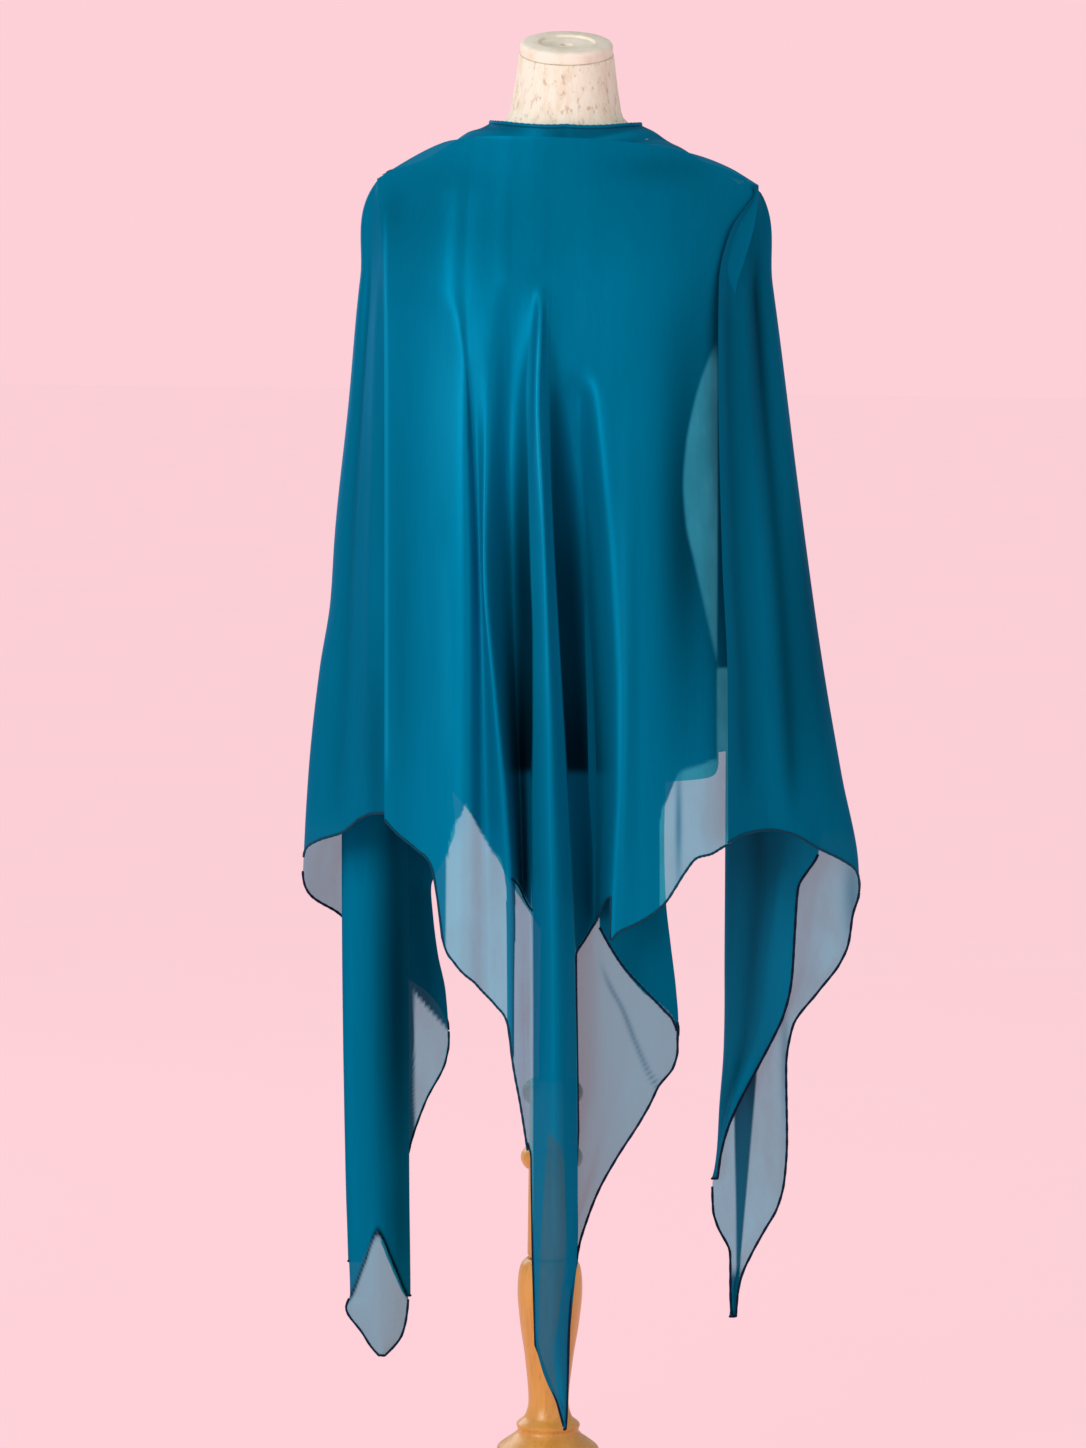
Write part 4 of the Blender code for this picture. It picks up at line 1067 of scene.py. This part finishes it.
def build_form(linen, cap):
    """The torso with its neck, cut off aslant at the top, and the turned disc in that end."""
    tilt = math.radians(CAP_TILT_DEG)
    downs = [770, 768.5, 766, 763, 759]
    downs += list(np.arange(752, 240, -8.0)) + list(np.arange(240, 120, -4.0)) + [118, 112, 106, 100]
    lifts = {770: -5, 768.5: -3, 766: -1.6, 763: -0.6, 759: 0}
    rings = [form_ring(d, lifts.get(d, 0)) for d in downs]
    for d, part, lift in ((92, 0.25, 0), (80, 0.5, 0), (70, 0.75, 0), (60, 1, 0), (57.5, 1, -0.1), (56, 1, -0.5)):
        rings.append(form_ring(d, lift, part * tilt))
    body = loft("form_body", rings, linen, ["form_torso"])
    top = height(52.6)
    profile = (
        (CAP_RADIUS - 1.2, -2.8), (CAP_RADIUS - 1, -1), (CAP_RADIUS - 1, 4.5), (CAP_RADIUS - 1.6, 6.2),
        (CAP_RADIUS - 3, 7.9), (CAP_RADIUS - 5, 9), (CAP_RECESS_RADIUS + 0.4, 9), (CAP_RECESS_RADIUS, 8.7),
        (CAP_RECESS_RADIUS - 0.6, 9 - CAP_RECESS_DEPTH), (14, 9 - CAP_RECESS_DEPTH), (13, 9 - CAP_RECESS_DEPTH - 0.5),
        (SCREW_HOLE_RADIUS + 0.5, 9 - CAP_RECESS_DEPTH - 0.5), (SCREW_HOLE_RADIUS, 9 - CAP_RECESS_DEPTH - 0.9),
        (SCREW_HOLE_RADIUS, 9 - CAP_RECESS_DEPTH - SCREW_HOLE_DEPTH),
    )
    angle = round_angles(96)
    rings = []
    for r, z in profile:
        x, y = r * np.cos(angle), r * np.sin(angle)
        rings.append(np.stack([
            x, y * math.cos(tilt) - z * math.sin(tilt), top + y * math.sin(tilt) + z * math.cos(tilt)
        ], -1) * MM)
    disc = loft("neck_cap", rings, cap, ["form_neck_cap"])
    return body, disc


def turned(name, profile, look, replaced, sides=96):
    """A solid of revolution about the stand's axis, from rows of radius and height in millimetres."""
    angle = round_angles(sides)
    rings = [np.stack([r * np.cos(angle), r * np.sin(angle), np.full(sides, z)], -1) * MM for r, z in profile]
    return loft(name, rings, look, replaced)


def ball(radius, low, high, rows, neck):
    """Radius and height of a turned ball between two heights, on a neck of this radius."""
    out = []
    for i in range(rows + 1):
        t = i / rows
        out.append((neck + (radius - neck) * math.sin(math.pi * t) ** 0.6, low + (high - low) * t))
    return out


def build_stand(wood, iron):
    collar_top, collar_low = height(1078), height(1102)
    pole = [(POLE_RADIUS, z) for z in (collar_top + SEAT_GAP, height(FORM_BOTTOM_DOWN) - SEAT_GAP)]
    turned("pole", pole, iron, ["stand_pole"])
    column_low = height(1258)
    profile = [
        (COLUMN_RADIUS - 4, column_low), (COLUMN_RADIUS - 1.5, column_low + 1), (COLUMN_RADIUS, column_low + 4),
        (COLUMN_RADIUS, height(1170)),
    ]
    profile += ball(COLLAR_RADIUS + 0.5, height(1168), height(1145), 20, COLUMN_RADIUS)
    profile += [(COLUMN_RADIUS, height(1140)), (COLUMN_RADIUS, collar_low - 4)]
    profile += ball(COLLAR_RADIUS, collar_low, collar_top - 2, 20, COLUMN_RADIUS)
    profile += [(COLUMN_RADIUS - 1, collar_top - 0.6), (COLUMN_RADIUS - 5, collar_top)]
    turned("column", profile, wood, ["stand_column"])
    baluster = Table(
        down=(BALUSTER_TOP_DOWN, 1262, 1270, 1290, 1320, 1360, 1403, 1418, 1426, 1431, 1436, 1441, 1450, 1460, 1470,
              1479),
        radius=(24, 28, 31, 32.5, 30, 24, 20.2, 24, 31.9, 30.5, 34, 41, 51, 52, 47, 42),
    )
    downs = np.concatenate(
        [np.arange(1479, 1403, -1.5), np.arange(1403, BALUSTER_TOP_DOWN, -3.0), [BALUSTER_TOP_DOWN]]
    )
    profile = [(float(baluster.read("radius", d)), height(d)) for d in downs]
    profile.append((22.0, height(BALUSTER_TOP_DOWN) + 0.001))
    turned("baluster", profile, wood, ["stand_baluster"])
    plate_top = height(1479) - SEAT_GAP
    edge = [(BASE_RADIUS - 3, 0), (BASE_RADIUS - 0.8, 0.8), (BASE_RADIUS, 3), (BASE_RADIUS, BASE_THICKNESS - 8)]
    edge += [
        (BASE_RADIUS - 14 + 14 * math.cos(a), BASE_THICKNESS - 8 + 8 * math.sin(a))
        for a in np.linspace(0.15, math.pi / 2, 10)
    ]
    edge += [(110, BASE_THICKNESS + 1.5), (70, BASE_THICKNESS + 4), (58, 0.5 * (BASE_THICKNESS + plate_top) + 2)]
    turned("base", edge + [(52, plate_top)], wood, ["stand_base"], 144)


# The floor's reach from the stand, in metres, its tiles a side, and the pink that is seen behind it
FLOOR_REACH = 60.0
FLOOR_TILES = 12
PAPER_PINK = rgb(0.984, 0.631, 0.682)


def build_stage():
    """A plain pale pink floor that runs out to the same pink behind it."""
    paper = Finish("pink_floor", Roughness=0.95, Specular_IOR_Level=0.0)
    mottle = paper.grain(2.0, 2.0)
    pink = mottle.within(0.2, 0.8).blend(rgb(0.984, 0.627, 0.678), rgb(0.984, 0.635, 0.686))
    paper.feed(paper.shader.inputs["Emission Color"], pink)
    paper.shader.inputs["Emission Strength"].default_value = 0.92
    tone = mottle.within(0.2, 0.8).blend(rgb(0.125, 0.080, 0.086), rgb(0.125, 0.082, 0.088))
    look = paper.show(tone, relief=mottle, distance=0.001, strength=0.1)
    count = FLOOR_TILES + 1
    steps = np.linspace(-FLOOR_REACH, FLOOR_REACH, count)
    vertices = [(float(x), float(y), 0.0) for y in steps for x in steps]
    corners = [count * r + c for r in range(FLOOR_TILES) for c in range(FLOOR_TILES)]
    faces = [(n, n + 1, n + count + 1, n + count) for n in corners]
    data = bpy.data.meshes.new("pink_floor")
    data.from_pydata(vertices, [], faces)
    data.materials.append(look)
    placed("pink_floor", data)


def build_light():
    """Grey light all round with three soft lamps, and the paper's pink wherever the camera sees past the floor."""
    studio = bpy.data.worlds.new("studio")
    bpy.context.scene.world = studio
    studio.use_nodes = True
    air = Wire(studio.node_tree)
    seen = air.node("ShaderNodeLightPath", out="Is Camera Ray")
    background = studio.node_tree.nodes["Background"]
    air.feed(background.inputs["Color"], seen.blend(rgb(0.50, 0.50, 0.50), PAPER_PINK))
    background.inputs["Strength"].default_value = 1.0
    # name, place, aim, width, height, power
    for name, place, aim, width, tall, power in (
        ("key", (-2.4, -3.0, 2.2), (0, 0, 0.95), 1.5, 2.2, 85),
        ("fill", (2.4, -3.0, 1.2), (0, 0, 0.8), 1.4, 2.2, 12),
        ("rear", (-1.8, 2.6, 2.0), (0, 0, 0.9), 1.2, 2.0, 22),
    ):
        lamp = bpy.data.lights.new(name, "AREA")
        lamp.shape, lamp.size, lamp.size_y, lamp.energy = "RECTANGLE", width, tall, power
        holder = placed(name, lamp)
        holder.location = place
        holder.visible_camera = False
        toward = np.array(aim) - np.array(place)
        flat = math.hypot(toward[0], toward[1])
        holder.rotation_euler = (math.atan2(flat, -toward[2]), 0, math.atan2(-toward[0], toward[1]))


def build_camera():
    data = bpy.data.cameras.new("camera")
    data.lens, data.sensor_width, data.sensor_fit = CAMERA_LENS, 36, "AUTO"
    data.shift_x, data.shift_y = CAMERA_SHIFT
    data.clip_start, data.clip_end = 0.5, 40
    camera = placed("camera", data)
    camera.location = CAMERA_PLACE
    camera.rotation_euler = (math.pi / 2 - CAMERA_DIP, CAMERA_ROLL, 0)
    bpy.context.scene.camera = camera


def build_all():
    bpy.context.scene.view_settings.view_transform = "Standard"
    build_camera()
    satin = silk("teal_silk_satin")
    navy = hem_finish("rolled_hem_navy", rgb(0.0, 0.008, 0.026))
    teal = hem_finish("rolled_hem_teal", rgb(0.0, 0.035, 0.065))
    body, _ = build_form(linen_finish(), cap_finish())
    build_stand(wood_finish(), iron_finish("dark_pole", rgb(0.04, 0.04, 0.042), 0.35))
    made = build_cloth(satin, navy, teal)
    made["neck_wrap"] = build_neck_wrap(satin)
    build_stage()
    build_light()


build_all()
